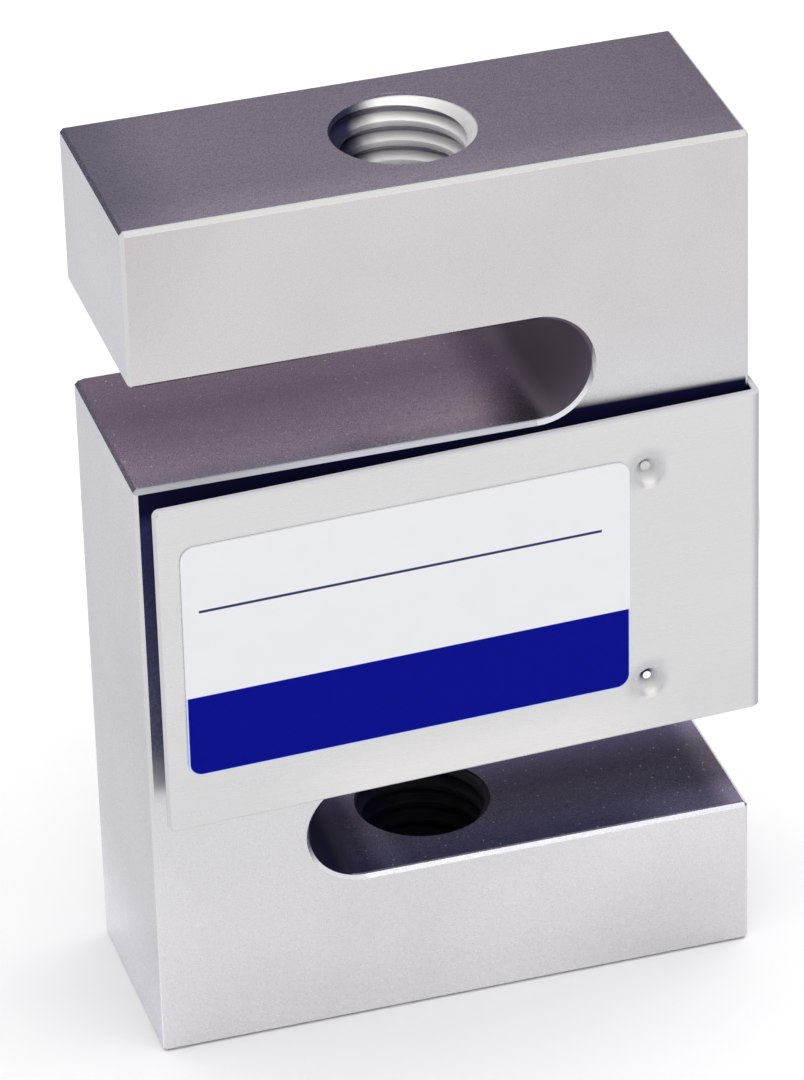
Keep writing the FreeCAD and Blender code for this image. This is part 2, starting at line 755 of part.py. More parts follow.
def make_leads(label, level, turn):
    """The two flat leads from a gauge's tabs to their solder pads, each bent in one upright plane.

    level is 1 for an upper gauge and -1 for a lower one.  They are drawn for the right-hand gauge.
    """
    thickness = cell["lead_thickness"]
    tab_face = gauge_bore_radius - cell["gauge_thickness"] - cell["gauge_tab_thickness"]
    tab_end = root(tab_face * tab_face - thickness * thickness / 4) * level
    pad_end = board_top + cell["terminal_height"] - half_height
    depth = cell["gauge_tab_offset"]
    if level < 0:
        depth = -(depth + cell["gauge_tab_spacing"])
    body = new_body(label, up=half_height, turn=turn)
    section = new_sketch(body, "section", "XZ_Plane", lift=-depth)
    route = [
        (gauge_bore_offset, tab_end),
        (gauge_bore_offset, cell["lead_level"]),
        (terminal_across, cell["lead_level"]),
        (terminal_across, pad_end),
    ]
    draw_strip(section, route, thickness, cell["lead_bend_radius"])
    lead = pad(body, "lead", section, cell["lead_width"], "Symmetric")
    repeat_along(body, "second_lead", [lead], "Y_Axis", cell["gauge_tab_spacing"])
    return as_node(body, 2)


# ---------------------------------------------------------------- cable inlet
def make_ring(label, start, length, inner, outer):
    """A ring on the inlet's axis; start is measured from the block's right face, outwards."""
    body = new_body(label, half_width, ZERO, half_height)
    section = new_sketch(body, "section", "XZ_Plane")
    draw_rectangle(section, start, start + length, inner, outer)
    turned(body, "Revolution", "ring", section, "X_Axis")
    return as_node(body)


def make_inlet():
    """Seal and washer in the pocket, and the hollow screw that presses them through the cover."""
    floor = -cell["gland_pocket_depth"]
    washer = floor + cell["gland_seal_length"]
    screw = washer + cell["gland_washer_thickness"]
    loose = gland_thread_radius - cell["gland_play"]
    seal_bore_radius = cell["gland_seal_bore"] / 2
    make_ring("gland_seal", floor, cell["gland_seal_length"], seal_bore_radius, gland_thread_radius)
    make_ring("gland_washer", washer, cell["gland_washer_thickness"], gland_bore_radius, loose)

    body = new_body("gland_screw", half_width, ZERO, half_height)
    section = new_sketch(body, "section", "XZ_Plane")
    seat = cell["cover_thickness"]
    crown = seat + cell["gland_head_thickness"]
    head_radius = cell["gland_head_diameter"] / 2
    bevel, flare = cell["gland_head_bevel"], cell["gland_bore_flare"]
    draw_outline(
        section,
        [
            (screw, gland_bore_radius),
            (crown - flare, gland_bore_radius),
            (crown, gland_bore_radius + flare),
            (crown, head_radius - bevel),
            (crown - bevel, head_radius),
            (seat, head_radius),
            (seat, loose),
            (screw, loose),
        ],
    )
    turned(body, "Revolution", "turned_screw", section, "X_Axis")
    slot = new_sketch(body, "slot_outline", "YZ_Plane", lift=crown)
    half_slot = cell["gland_slot_width"] / 2
    draw_rectangle(slot, -half_slot, half_slot, -head_radius, head_radius)
    cut(body, "driving_slot", slot, cell["gland_slot_depth"])
    return as_node(body)


# ---------------------------------------------------------------- the whole cell
make_spring_element()
make_cover()
make_cover_pins()
make_label()
make_sealant("front_sealant", 0)
make_sealant("rear_sealant", 180)
make_board()
for place, purpose in ((-1, "zero"), (0, "span"), (1, "nickel")):
    make_resistor(f"{purpose}_resistor", place)
make_gauge("gauge_upper_right", 1, "Z", 0)
make_gauge("gauge_upper_left", -1, "Z", 180)
make_gauge("gauge_lower_right", 1, "X", 180)
make_gauge("gauge_lower_left", -1, "Y", 180)
for turn, hand in ((0, "right"), (180, "left")):
    make_leads(f"leads_upper_{hand}", 1, turn)
    make_leads(f"leads_lower_{hand}", -1, turn)
make_inlet()
doc.recompute()

for item in doc.Objects:
    if "Invalid" in item.State or "Error" in item.State:
        raise RuntimeError(f"{item.Name} is {item.State}")
for label, (item, solids) in nodes.items():
    shape = item.Shape
    if shape.isNull() or not shape.isValid() or len(shape.Solids) != solids:
        raise RuntimeError(f"{label}: valid {shape.isValid()}, {len(shape.Solids)} solids")

os.makedirs("parts", exist_ok=True)
for label, (item, solids) in nodes.items():
    item.Shape.exportStep(f"parts/{label}.step")
    box = item.Shape.BoundBox
    print(f"{label:18s} {item.Shape.Volume:10.2f} mm3  x {box.XMin:7.2f} {box.XMax:7.2f}"
          f"  y {box.YMin:7.2f} {box.YMax:7.2f}  z {box.ZMin:6.2f} {box.ZMax:6.2f}")
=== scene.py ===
"""Looks of an S-type load cell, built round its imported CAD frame.

Everything is in metres in the row frame: +Z along the load axis, +X towards the cable inlet, +Y to the rear.
"""

import logging
import math
from dataclasses import dataclass
from enum import Enum
from typing import Iterable, Sequence

import bmesh
import bpy
import numpy as np
from mathutils import Matrix, Vector


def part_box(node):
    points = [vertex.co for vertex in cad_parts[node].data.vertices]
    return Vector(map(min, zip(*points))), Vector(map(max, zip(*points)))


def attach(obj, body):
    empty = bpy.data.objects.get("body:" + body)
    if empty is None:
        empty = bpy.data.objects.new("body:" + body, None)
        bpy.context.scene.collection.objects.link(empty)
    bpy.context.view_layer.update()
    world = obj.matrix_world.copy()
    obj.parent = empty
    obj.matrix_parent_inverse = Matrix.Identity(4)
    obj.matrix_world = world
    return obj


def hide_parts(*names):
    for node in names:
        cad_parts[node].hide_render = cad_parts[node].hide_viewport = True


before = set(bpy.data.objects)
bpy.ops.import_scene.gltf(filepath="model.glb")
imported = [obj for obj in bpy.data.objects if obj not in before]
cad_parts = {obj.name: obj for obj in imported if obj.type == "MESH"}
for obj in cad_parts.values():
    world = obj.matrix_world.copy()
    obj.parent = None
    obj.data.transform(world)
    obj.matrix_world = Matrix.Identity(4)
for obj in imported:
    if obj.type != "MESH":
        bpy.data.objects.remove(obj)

log = logging.getLogger("load_cell")
MM = 0.001
HAIR = 0.01 * MM

Colour = tuple[float, float, float]
Socket = bpy.types.NodeSocket


def rgba(colour: Colour) -> tuple[float, float, float, float]:
    """Add an opaque alpha to a colour."""
    return (*colour, 1.0)


# ---------------------------------------------------------------- materials
class Blend(Enum):
    """How one colour is laid over another."""

    MIX = "MIX"
    MULTIPLY = "MULTIPLY"


class Recipe:
    """A material under construction: short calls that add nodes and link them."""

    def __init__(self, name: str) -> None:
        """Start an empty node tree with one Principled shader.

        Args:
            name: name of the material.
        """
        self.material = bpy.data.materials.new(name)
        self.material.use_nodes = True
        self.tree = self.material.node_tree
        self.tree.nodes.clear()
        self.output = self.tree.nodes.new("ShaderNodeOutputMaterial")
        self.shader = self.tree.nodes.new("ShaderNodeBsdfPrincipled")
        self.tree.links.new(self.shader.outputs["BSDF"], self.output.inputs["Surface"])
        self.place = self.node("ShaderNodeTexCoord").outputs["Object"]

    def feed(self, socket: Socket, value: object) -> None:
        """Link a socket to another node's output, or set its number or colour.

        Args:
            socket: the input that is fed.
            value: an output socket, a number or a tuple.
        """
        if isinstance(value, Socket):
            self.tree.links.new(value, socket)
        else:
            socket.default_value = value

    def node(self, kind: str, settings: dict[str, object] | None = None, **inputs: object) -> bpy.types.Node:
        """Add a node.

        Args:
            kind: Blender's name for the node type.
            settings: attributes of the node, such as its operation.
            **inputs: values by socket name, with underscores for spaces.

        Returns:
            The new node.
        """
        made = self.tree.nodes.new(kind)
        for key, value in (settings or {}).items():
            setattr(made, key, value)
        for key, value in inputs.items():
            self.feed(made.inputs[key.replace("_", " ")], value)
        return made

    def set(self, **inputs: object) -> None:
        """Feed the Principled shader's sockets by name, with underscores for spaces."""
        for key, value in inputs.items():
            self.feed(self.shader.inputs[key.replace("_", " ")], value)

    def maths(self, operation: str, *values: object) -> Socket:
        """Work out one number from others.

        Args:
            operation: name of the Math node's operation.
            *values: numbers or sockets.

        Returns:
            The result's socket.
        """
        made = self.node("ShaderNodeMath", {"operation": operation})
        for socket, value in zip(made.inputs, values):
            self.feed(socket, value)
        return made.outputs[0]

    def stretched(self, scale: Sequence[float]) -> Socket:
        """Object coordinates multiplied along each axis.

        Args:
            scale: factor along x, y and z.

        Returns:
            The coordinates' socket.
        """
        made = self.node("ShaderNodeVectorMath", {"operation": "MULTIPLY"})
        self.feed(made.inputs[0], self.place)
        self.feed(made.inputs[1], tuple(scale))
        return made.outputs[0]

    def noise(self, vector: Socket, scale: float, detail: float = 3.0, rough: float = 0.55) -> Socket:
        """Soft noise, from 0 to 1.

        Args:
            vector: coordinates.
            scale: features per unit of the coordinates.
            detail: number of octaves.
            rough: strength of the finer octaves.

        Returns:
            The noise value's socket.
        """
        made = self.node("ShaderNodeTexNoise", Vector=vector, Scale=scale, Detail=detail, Roughness=rough)
        return made.outputs[0]

    def ramp(self, value: object, low: float, high: float, start: float = 0.0, end: float = 1.0) -> Socket:
        """Map a number smoothly from one range to another.

        Args:
            value: the number.
            low: where the range starts.
            high: where it ends.
            start: result at the low end.
            end: result at the high end.

        Returns:
            The mapped value's socket.
        """
        made = self.node("ShaderNodeMapRange", {"interpolation_type": "SMOOTHSTEP", "clamp": True})
        for key, number in zip(("Value", "From Min", "From Max", "To Min", "To Max"), (value, low, high, start, end)):
            self.feed(made.inputs[key], number)
        return made.outputs[0]

    def mix(self, share: object, under: object, over: object, blend: Blend = Blend.MIX) -> Socket:
        """Lay one colour over another.

        Args:
            share: how much of the upper colour, from 0 to 1.
            under: lower colour.
            over: upper colour.
            blend: how they combine.

        Returns:
            The mixed colour's socket.
        """
        made = self.node("ShaderNodeMix", {"data_type": "RGBA", "blend_type": blend.value})
        for socket, value in zip((made.inputs[0], made.inputs[6], made.inputs[7]), (share, under, over)):
            self.feed(socket, rgba(value) if isinstance(value, tuple) and len(value) == 3 else value)
        return made.outputs[2]

    def split(self, vector: Socket) -> list[Socket]:
        """The x, y and z of a vector."""
        return list(self.node("ShaderNodeSeparateXYZ", Vector=vector).outputs)

    def within(self, value: Socket, low: float, high: float, soft: float) -> Socket:
        """A mask that is 1 between two values and fades to 0 outside them.

        Args:
            value: the number that is tested.
            low: where the range starts.
            high: where it ends.
            soft: width of the fade.

        Returns:
            The mask's socket.
        """
        away = self.maths("ABSOLUTE", self.maths("SUBTRACT", value, (low + high) / 2))
        return self.ramp(away, (high - low) / 2, (high - low) / 2 + soft, 1.0, 0.0)

    def rise(self, value: Socket, start: float, end: float) -> Socket:
        """0 below a first length and 1 above a second, both in millimetres."""
        return self.ramp(value, start * MM, end * MM)

    def fall(self, value: Socket, start: float, end: float) -> Socket:
        """1 below a first length and 0 above a second, both in millimetres."""
        return self.ramp(value, start * MM, end * MM, 1.0, 0.0)

    def both(self, *masks: object) -> Socket:
        """The product of several masks."""
        total = masks[0]
        for mask in masks[1:]:
            total = self.maths("MULTIPLY", total, mask)
        return total

    def tinted(self, mask: object, colour: Socket, factor: Colour) -> Socket:
        """Multiply a colour by a factor where a mask is 1."""
        return self.mix(mask, colour, self.mix(1.0, colour, factor, Blend.MULTIPLY))

    def away_from(self, across: float, up: float) -> Socket:
        """Distance from an axis that runs front to rear through a point.

        Args:
            across: place of the axis along x.
            up: its height.

        Returns:
            The distance's socket.
        """
        x, _, z = self.split(self.place)
        flat = self.node("ShaderNodeCombineXYZ", X=self.maths("SUBTRACT", x, across), Z=self.maths("SUBTRACT", z, up))
        length = self.node("ShaderNodeVectorMath", {"operation": "LENGTH"})
        self.feed(length.inputs[0], flat.outputs[0])
        return length.outputs["Value"]

    def bump(self, height: Socket, depth: float) -> Socket:
        """Relief from a height value.

        Args:
            height: height, from 0 to 1.
            depth: real height of the relief in metres.

        Returns:
            The normal's socket.
        """
        return self.node("ShaderNodeBump", Height=height, Distance=depth, Strength=1.0).outputs[0]


@dataclass(frozen=True)
class GroundNickel:
    """Satin nickel plate over fine-ground steel, with painted light and shade by region, painted highlights on the
    chamfers, and painted shade in the milled slots and on the face the sheet covers.
    """

    low: Vector
    high: Vector
    upper_slot: tuple[float, float]
    lower_slot: tuple[float, float]
    slot_reach: float
    name: str = "satin_nickel"
    light: Colour = (0.60, 0.595, 0.60)
    dark: Colour = (0.56, 0.555, 0.565)
    # Painted light and shade as colour factors by region: the foot, the top face and the top's front lighter, the
    # top's left end darker.
    foot: Colour = (1.31, 1.30, 1.31)
    top: Colour = (1.29, 1.28, 1.30)
    top_left_shade: Colour = (0.72, 0.72, 0.76)
    top_front_light: Colour = (1.24, 1.24, 1.24)
    # Painted light and shade in the slots: the upper floor lighter; the lower floor, the ceilings, the ends and their
    # curved parts darker; on the lower floor a bluish painted reflection towards the front and painted light at the
    # right edge, the rear and the front right corner; painted light over the upper floor's front half.
    upper_floor_light: Colour = (1.16, 1.02, 1.06)
    lower_floor_shade: Colour = (0.26, 0.268, 0.30)
    lower_front_reflection: Colour = (0.80, 0.82, 1.12)
    ceiling: Colour = (0.55, 0.52, 0.60)
    upper_end_shade: Colour = (0.60, 0.54, 0.58)
    lower_end_shade: Colour = (0.16, 0.155, 0.20)
    upper_rim_shade: Colour = (0.42, 0.38, 0.45)
    lower_rim_shade: Colour = (0.12, 0.11, 0.38)
    edge_glow: Colour = (2.5, 2.4, 2.1)
    floor_middle_light: Colour = (1.14, 1.14, 1.14)
    # Painted shade: the top's right end darker.
    top_right_shade: Colour = (0.90, 0.90, 0.90)
    lower_back_light: Colour = (2.0, 2.05, 2.4)
    lower_corner_light: Colour = (3.0, 2.9, 2.4)
    # Painted shade over the painted highlights at the upper slot's lip towards the left.
    left_glint_shade: Colour = (0.68, 0.68, 0.68)
    # Painted light and shade on the outer faces: the arm's upper left corner darker, a faint painted reflection tint
    # on the arm's front, the left foot lighter and the right foot darker.
    arm_corner_shade: Colour = (0.90, 0.90, 0.90)
    arm_front_reflection: Colour = (1.0, 0.965, 0.965)
    left_foot_light: Colour = (1.26, 1.27, 1.28)
    right_foot_shade: Colour = (0.86, 0.86, 0.86)
    # Painted shade towards the front of both slot floors.
    floor_front_shade: Colour = (0.85, 0.87, 0.90)
    # Painted highlights, flat and matt, on the chamfers: along the top's front edge, the slot floors' front edges and
    # the turns into the curved slot ends.
    top_lip_glint: Colour = (0.62, 0.62, 0.61)
    upper_lip_glint: Colour = (0.70, 0.72, 0.77)
    lower_lip_glint: Colour = (0.62, 0.62, 0.66)
    curved_lip_glint: Colour = (0.95, 0.96, 0.98)
    chamfer: float = 0.3 * MM
    dust: Colour = (0.95, 0.95, 1.0)
    # Painted shade: a navy tone on the block's front face where the sheet covers it, lightest low down and darkest at
    # the top, with the heights where it starts and ends.
    gap_shade: Colour = (0.007, 0.007, 0.038)
    gap_shade_middle: Colour = (0.035, 0.042, 0.125)
    gap_shade_foot: Colour = (0.13, 0.13, 0.22)
    gap_shade_top: tuple[float, float] = (54.0 * MM, 54.5 * MM)
    gap_shade_span: tuple[float, float] = (24.2 * MM, 30.5 * MM)
    rough: tuple[float, float] = (0.25, 0.33)

    def make(self) -> bpy.types.Material:
        """Fine speckle over broad soft clouds, then painted light and shade for each region by its place, and painted
        highlights on the chamfers.
        """
        r = Recipe(self.name)
        clouds = r.noise(r.place, 60.0, 2.0)
        speckle = r.noise(r.place, 5200.0, 2.0, 0.7)
        lines = r.noise(r.stretched((500.0, 4200.0, 4200.0)), 1.0, 2.0)
        tone = r.maths("MULTIPLY_ADD", speckle, 0.25, r.maths("MULTIPLY", clouds, 0.75))
        colour = r.mix(r.ramp(tone, 0.33, 0.67), self.dark, self.light)
        x, y, z = r.split(r.place)
        edge = self.high.y - HAIR
        inner = r.within(y, -edge, edge, HAIR / 2)
        front = r.ramp(y, -edge - HAIR / 2, -edge, 1.0, 0.0)
        on_top = r.ramp(z, self.high.z - 0.1 * MM, self.high.z - 0.05 * MM)
        # Painted light and shade by region: lighter towards the foot, at the left foot, over the top and along its
        # front; darker at the right foot, the arm's upper left corner and the top's left and right ends; a faint
        # painted reflection tint on the upper arm's front.
        regions = (
            (r.fall(z, 0.0, 34.0), self.foot),
            (r.both(r.fall(z, 2.0, 13.0), r.fall(x, -25.38, -25.3)), self.left_foot_light),
            (r.both(front, r.fall(z, 4.0, 14.0), r.rise(x, 4.0, 22.0)), self.right_foot_shade),
            (r.both(front, r.rise(z, 56.0, 64.0)), self.arm_front_reflection),
            (r.both(front, r.rise(z, 62.0, 71.0), r.fall(x, -25.0, -16.0)), self.arm_corner_shade),
            (on_top, self.top),
            (r.both(on_top, r.fall(y, -9.0, -4.0)), self.top_front_light),
            (r.both(on_top, r.fall(x, -25.0, -18.0)), self.top_left_shade),
            (r.both(on_top, r.rise(x, 14.0, 24.0)), self.top_right_shade),
        )
        for mask, shade in regions:
            colour = r.tinted(mask, colour, shade)

        rim = r.fall(y, -9.1, -8.9)
        top_edge = self.high.z - self.chamfer
        # Painted highlights on the chamfers, each with its mask; the first runs along the top's front edge.
        glints = [(r.both(r.ramp(z, top_edge - 2 * HAIR, top_edge), rim, inner), self.top_lip_glint)]
        # Each slot: floor and ceiling heights, which way it runs, painted light or shade on its floor, painted shade
        # on its end and on the end's curved part, and the painted highlight on its lip.
        slots = (
            (self.upper_slot, -1.0, self.upper_floor_light, self.upper_end_shade, self.upper_rim_shade, self.upper_lip_glint),
            (self.lower_slot, 1.0, self.lower_floor_shade, self.lower_end_shade, self.lower_rim_shade, self.lower_lip_glint),
        )
        floors: object = 0.0
        ends: object = 0.0
        cut_back = self.high.y - self.chamfer
        for (bottom, ceiling), way, floor_shading, end_shade, rim_shade, glint_tone in slots:
            inwards = r.maths("MULTIPLY_ADD", x, way, self.slot_reach)
            along = r.rise(inwards, -0.2, -0.1)
            straight = r.rise(inwards, 4.8, 9.0)
            on_floor = r.both(inner, along, r.within(z, bottom - 0.1 * MM, bottom + 0.1 * MM, 0.05 * MM))
            on_ceiling = r.both(inner, along, r.within(z, ceiling - 0.1 * MM, ceiling + 0.1 * MM, 0.05 * MM))
            tall = r.within(z, bottom - self.chamfer, ceiling + self.chamfer, 2 * HAIR)
            between = r.both(inner, along, tall, r.maths("SUBTRACT", 1.0, straight))
            curved = r.both(between, r.fall(inwards, 2.2, 4.4))
            above_floor = r.maths("SUBTRACT", z, bottom)
            level = r.fall(above_floor, 0.1, 0.15)
            turning = r.both(r.fall(inwards, 4.4, 4.6), r.fall(above_floor, 1.5, 4.5))
            broken = r.both(turning, r.ramp(y, -cut_back, -cut_back + 3 * HAIR, 1.0, 0.0))
            # Painted highlights on the floor's front lip and on the turn into the curved end.
            glints.append((r.both(level, rim, tall, inner, along), glint_tone))
            glints.append((r.both(broken, tall, inner, along), self.curved_lip_glint))
            # Painted shade on the end and its curved part, painted light or shade on the straight floor, painted
            # shade on the ceiling.
            colour = r.tinted(between, colour, end_shade)
            colour = r.tinted(curved, colour, rim_shade)
            colour = r.tinted(r.both(on_floor, straight), colour, floor_shading)
            colour = r.tinted(r.both(on_ceiling, straight), colour, self.ceiling)
            ends = r.maths("MAXIMUM", ends, curved)
            floors = r.maths("MAXIMUM", floors, on_floor)
        # Painted reflection and light on the lower slot floor: bluish and darker towards the front, lighter towards
        # the rear, at the right edge and at the front right corner; painted light over the upper floor's front half.
        blue = r.both(r.fall(r.maths("SUBTRACT", z, self.lower_slot[0]), 0.5, 1.0), floors)
        above = r.both(floors, r.rise(r.maths("SUBTRACT", z, self.upper_slot[0]), -0.5, -0.4))
        regions = (
            (r.both(blue, r.fall(y, -8.0, -2.0)), self.lower_front_reflection),
            (r.both(blue, r.rise(y, -1.0, 5.0)), self.lower_back_light),
            (r.both(blue, r.rise(x, 22.3, 25.2)), self.edge_glow),
            (r.both(blue, r.rise(x, 13.0, 25.0), r.fall(y, -9.0, -4.0)), self.lower_corner_light),
            (r.both(above, r.fall(y, -1.0, 3.0)), self.floor_middle_light),
        )
        for mask, shade in regions:
            colour = r.tinted(mask, colour, shade)

        grains = r.node("ShaderNodeTexVoronoi", {"voronoi_dimensions": "2D"}, Vector=r.place, Scale=620.0)
        speck = r.ramp(grains.outputs["Distance"], 0.018, 0.05, 1.0, 0.0)
        chosen = r.maths("GREATER_THAN", r.split(grains.outputs["Color"])[0], 0.5)
        speck = r.maths("MULTIPLY", r.both(speck, chosen, floors), 0.8)
        colour = r.mix(speck, colour, self.dust)
        # Painted shade towards the front of both slot floors.
        colour = r.tinted(r.both(floors, r.fall(y, -8.2, -6.5)), colour, self.floor_front_shade)
        # Lay on the painted highlights, then dim with painted shade those at the upper slot's lip towards the left.
        bright: object = 0.0
        for lip, glint_tone in glints:
            colour = r.mix(lip, colour, glint_tone)
            bright = r.maths("MAXIMUM", bright, lip if glint_tone is not self.lower_lip_glint else 0.0)
        dimmed_glints = r.both(bright, r.rise(z, 50.0, 52.0), r.fall(z, 54.0, 55.0), r.fall(x, -24.0, -4.0))
        colour = r.tinted(dimmed_glints, colour, self.left_glint_shade)
        # Painted shade: the block's front face where the sheet covers it turns navy, lightest low down and darkest at
        # the top, and goes matt.
        gap_shade_mask = r.both(front, r.ramp(z, *self.gap_shade_span), r.ramp(z, *self.gap_shade_top, 1.0, 0.0))
        depth = r.mix(r.rise(z, 28.0, 50.0), self.gap_shade_foot, self.gap_shade_middle)
        depth = r.mix(r.rise(z, 50.0, 51.5), depth, self.gap_shade)
        colour = r.mix(gap_shade_mask, colour, r.mix(r.ramp(speckle, 0.35, 0.65), depth, r.mix(0.35, depth, self.gap_shade)))
        matt = r.maths("MULTIPLY", r.maths("MAXIMUM", ends, bright), 0.85)
        dull = r.maths("MAXIMUM", r.maths("MAXIMUM", speck, gap_shade_mask), matt)
        relief = r.maths("MULTIPLY_ADD", speckle, 0.75, r.maths("MULTIPLY", lines, 0.25))
        r.set(
            Base_Color=colour,
            Metallic=r.maths("SUBTRACT", 1.0, dull),
            Roughness=r.maths("ADD", r.ramp(relief, 0.3, 0.7, *self.rough), r.maths("MULTIPLY", dull, 0.35)),
            Specular_IOR_Level=0.03,
            Specular_Tint=(0.79, 0.79, 0.82, 1.0),
            Normal=r.bump(relief, 0.0000014),
        )
        return r.material


@dataclass(frozen=True)
class BrushedSheet:
    """Stainless sheet with fine level brushing and a dark ring round the lower pin; painted shade in dark blue
    inside, painted light, shade and highlights in and round the dimples, painted shade towards the fold and painted
    light low on the front.
    """

    corner: tuple[float, float, float]
    top: float
    lean: float
    pins_across: float
    pins_up: tuple[float, float]
    name: str = "brushed_sheet"
    light: Colour = (0.655, 0.65, 0.65)
    dark: Colour = (0.61, 0.605, 0.61)
    # Painted shade: dark blue for the inside of the front panel.
    coat: Colour = (0.008, 0.009, 0.045)
    ring: Colour = (0.02, 0.03, 0.05)
    # Painted light in the dimples, fading to the sheet's tone at their edge; a painted highlight low in each; painted
    # shade round their upper left.
    dish_light: Colour = (0.78, 0.78, 0.79)
    dish_edge: Colour = (0.60, 0.60, 0.61)
    flare_highlight: Colour = (0.86, 0.85, 0.82)
    halo_shade: Colour = (0.74, 0.74, 0.78)
    # Painted shade towards the fold, and painted light low in the middle of the front.
    fold: Colour = (0.56, 0.55, 0.62)
    foot: Colour = (1.13, 1.12, 1.10)
    rim: Colour = (0.62, 0.61, 0.635)
    fold_at: float = 25.9 * MM

    def make(self) -> bpy.types.Material:
        """Noise stretched along the sheet for the brushing; the dark blue painted shade inside by depth below the
        front panel's outer plane.
        """
        r = Recipe(self.name)
        fine = r.noise(r.stretched((90.0, 90.0, 8200.0)), 1.0, 3.0, 0.6)
        broad = r.noise(r.stretched((30.0, 30.0, 160.0)), 1.0, 2.0)
        tone = r.maths("MULTIPLY_ADD", fine, 0.6, r.maths("MULTIPLY", broad, 0.4))
        colour = r.mix(r.ramp(tone, 0.25, 0.75), self.dark, self.light)
        aways = [r.away_from(self.pins_across, up) for up in self.pins_up]

        shifted = r.node("ShaderNodeVectorMath", {"operation": "SUBTRACT"})
        r.feed(shifted.inputs[0], r.place)
        r.feed(shifted.inputs[1], self.corner)
        about_z = {"rotation_type": "Z_AXIS"}
        square = r.node("ShaderNodeVectorRotate", about_z, Vector=shifted.outputs[0], Angle=-self.lean)
        depth = r.split(square.outputs[0])[1]
        x, y, z = r.split(r.place)
        within_flange = r.ramp(x, self.fold_at - 0.45 * MM, self.fold_at - 0.4 * MM, 1.0, 0.0)
        # Painted shade: dark blue inside the front panel, away from the dimples and short of the flange.
        inside = r.both(r.rise(depth, 0.55, 0.585), r.fall(depth, 9.0, 10.0), within_flange)
        for away in aways:
            inside = r.maths("MULTIPLY", inside, r.rise(away, 1.7, 1.9))
        colour = r.mix(inside, colour, self.coat)

        # Painted shade on the front panel towards the fold, and painted light low in its middle.
        front = r.fall(y, -5.0, -4.0)
        folded = r.both(r.fall(y, -10.2, -9.8), r.ramp(x, self.fold_at - 0.9 * MM, self.fold_at))
        colour = r.tinted(folded, colour, self.fold)
        low = r.both(front, r.fall(z, 25.5, 29.0), r.within(x, -6.0 * MM, 9.0 * MM, 12.0 * MM))
        colour = r.tinted(low, colour, self.foot)
        dish: object = 0.0
        # Each dimple: painted shade round its upper left, painted light in the dish that fades to the sheet's tone at
        # its edge, and a painted highlight low in the dish.
        for away, up in zip(aways, self.pins_up):
            climb = r.maths("SUBTRACT", r.maths("SUBTRACT", z, up), r.maths("SUBTRACT", x, self.pins_across))
            shadow = r.both(front, r.fall(away, 1.1, 2.6), r.rise(climb, -1.5, 1.5))
            colour = r.tinted(shadow, colour, self.halo_shade)
            dish_light = r.both(front, r.fall(away, 1.3, 1.75))
            colour = r.mix(dish_light, colour, r.mix(r.rise(away, 0.9, 1.3), self.dish_light, self.dish_edge))
            drop = r.ramp(r.maths("SUBTRACT", z, up), -0.75 * MM, -0.35 * MM, 1.0, 0.0)
            beam = r.within(x, self.pins_across - 0.15 * MM, self.pins_across + 0.3 * MM, 0.5 * MM)
            colour = r.mix(r.both(dish_light, drop, beam), colour, self.flare_highlight)
            dish = r.maths("MAXIMUM", dish, dish_light)
        climb = r.maths("SUBTRACT", r.maths("SUBTRACT", z, self.pins_up[0]), r.maths("SUBTRACT", x, self.pins_across))
        share = r.ramp(climb, -0.6 * MM, 0.3 * MM, 0.25, 0.6)
        ring = r.both(front, r.ramp(aways[0], 0.47 * MM, 0.55 * MM, 1.0, 0.0), share)
        colour = r.mix(ring, colour, self.ring)
        bevel = r.both(r.within(depth, 0.03 * MM, 0.57 * MM, 0.01 * MM), r.fall(x, 24.0, 24.5))
        for away in aways:
            bevel = r.maths("MULTIPLY", bevel, r.rise(away, 1.7, 1.9))
        cut = r.both(r.fall(y, -9.0, -8.0), r.ramp(z, self.top - 0.2 * MM, self.top - 0.17 * MM))
        cut = r.maths("MAXIMUM", cut, bevel)
        colour = r.mix(cut, colour, self.rim)
        plain = r.maths("MAXIMUM", r.maths("MAXIMUM", inside, cut), r.maths("MULTIPLY", dish, 0.75))
        r.set(
            Base_Color=colour,
            Metallic=r.maths("SUBTRACT", 1.0, plain),
            Roughness=r.maths("ADD", r.ramp(fine, 0.3, 0.7, 0.26, 0.34), r.maths("MULTIPLY", plain, 0.3)),
            Anisotropic=0.3,
            Specular_IOR_Level=0.25,
            Normal=r.bump(fine, 0.0000009),
        )
        return r.material


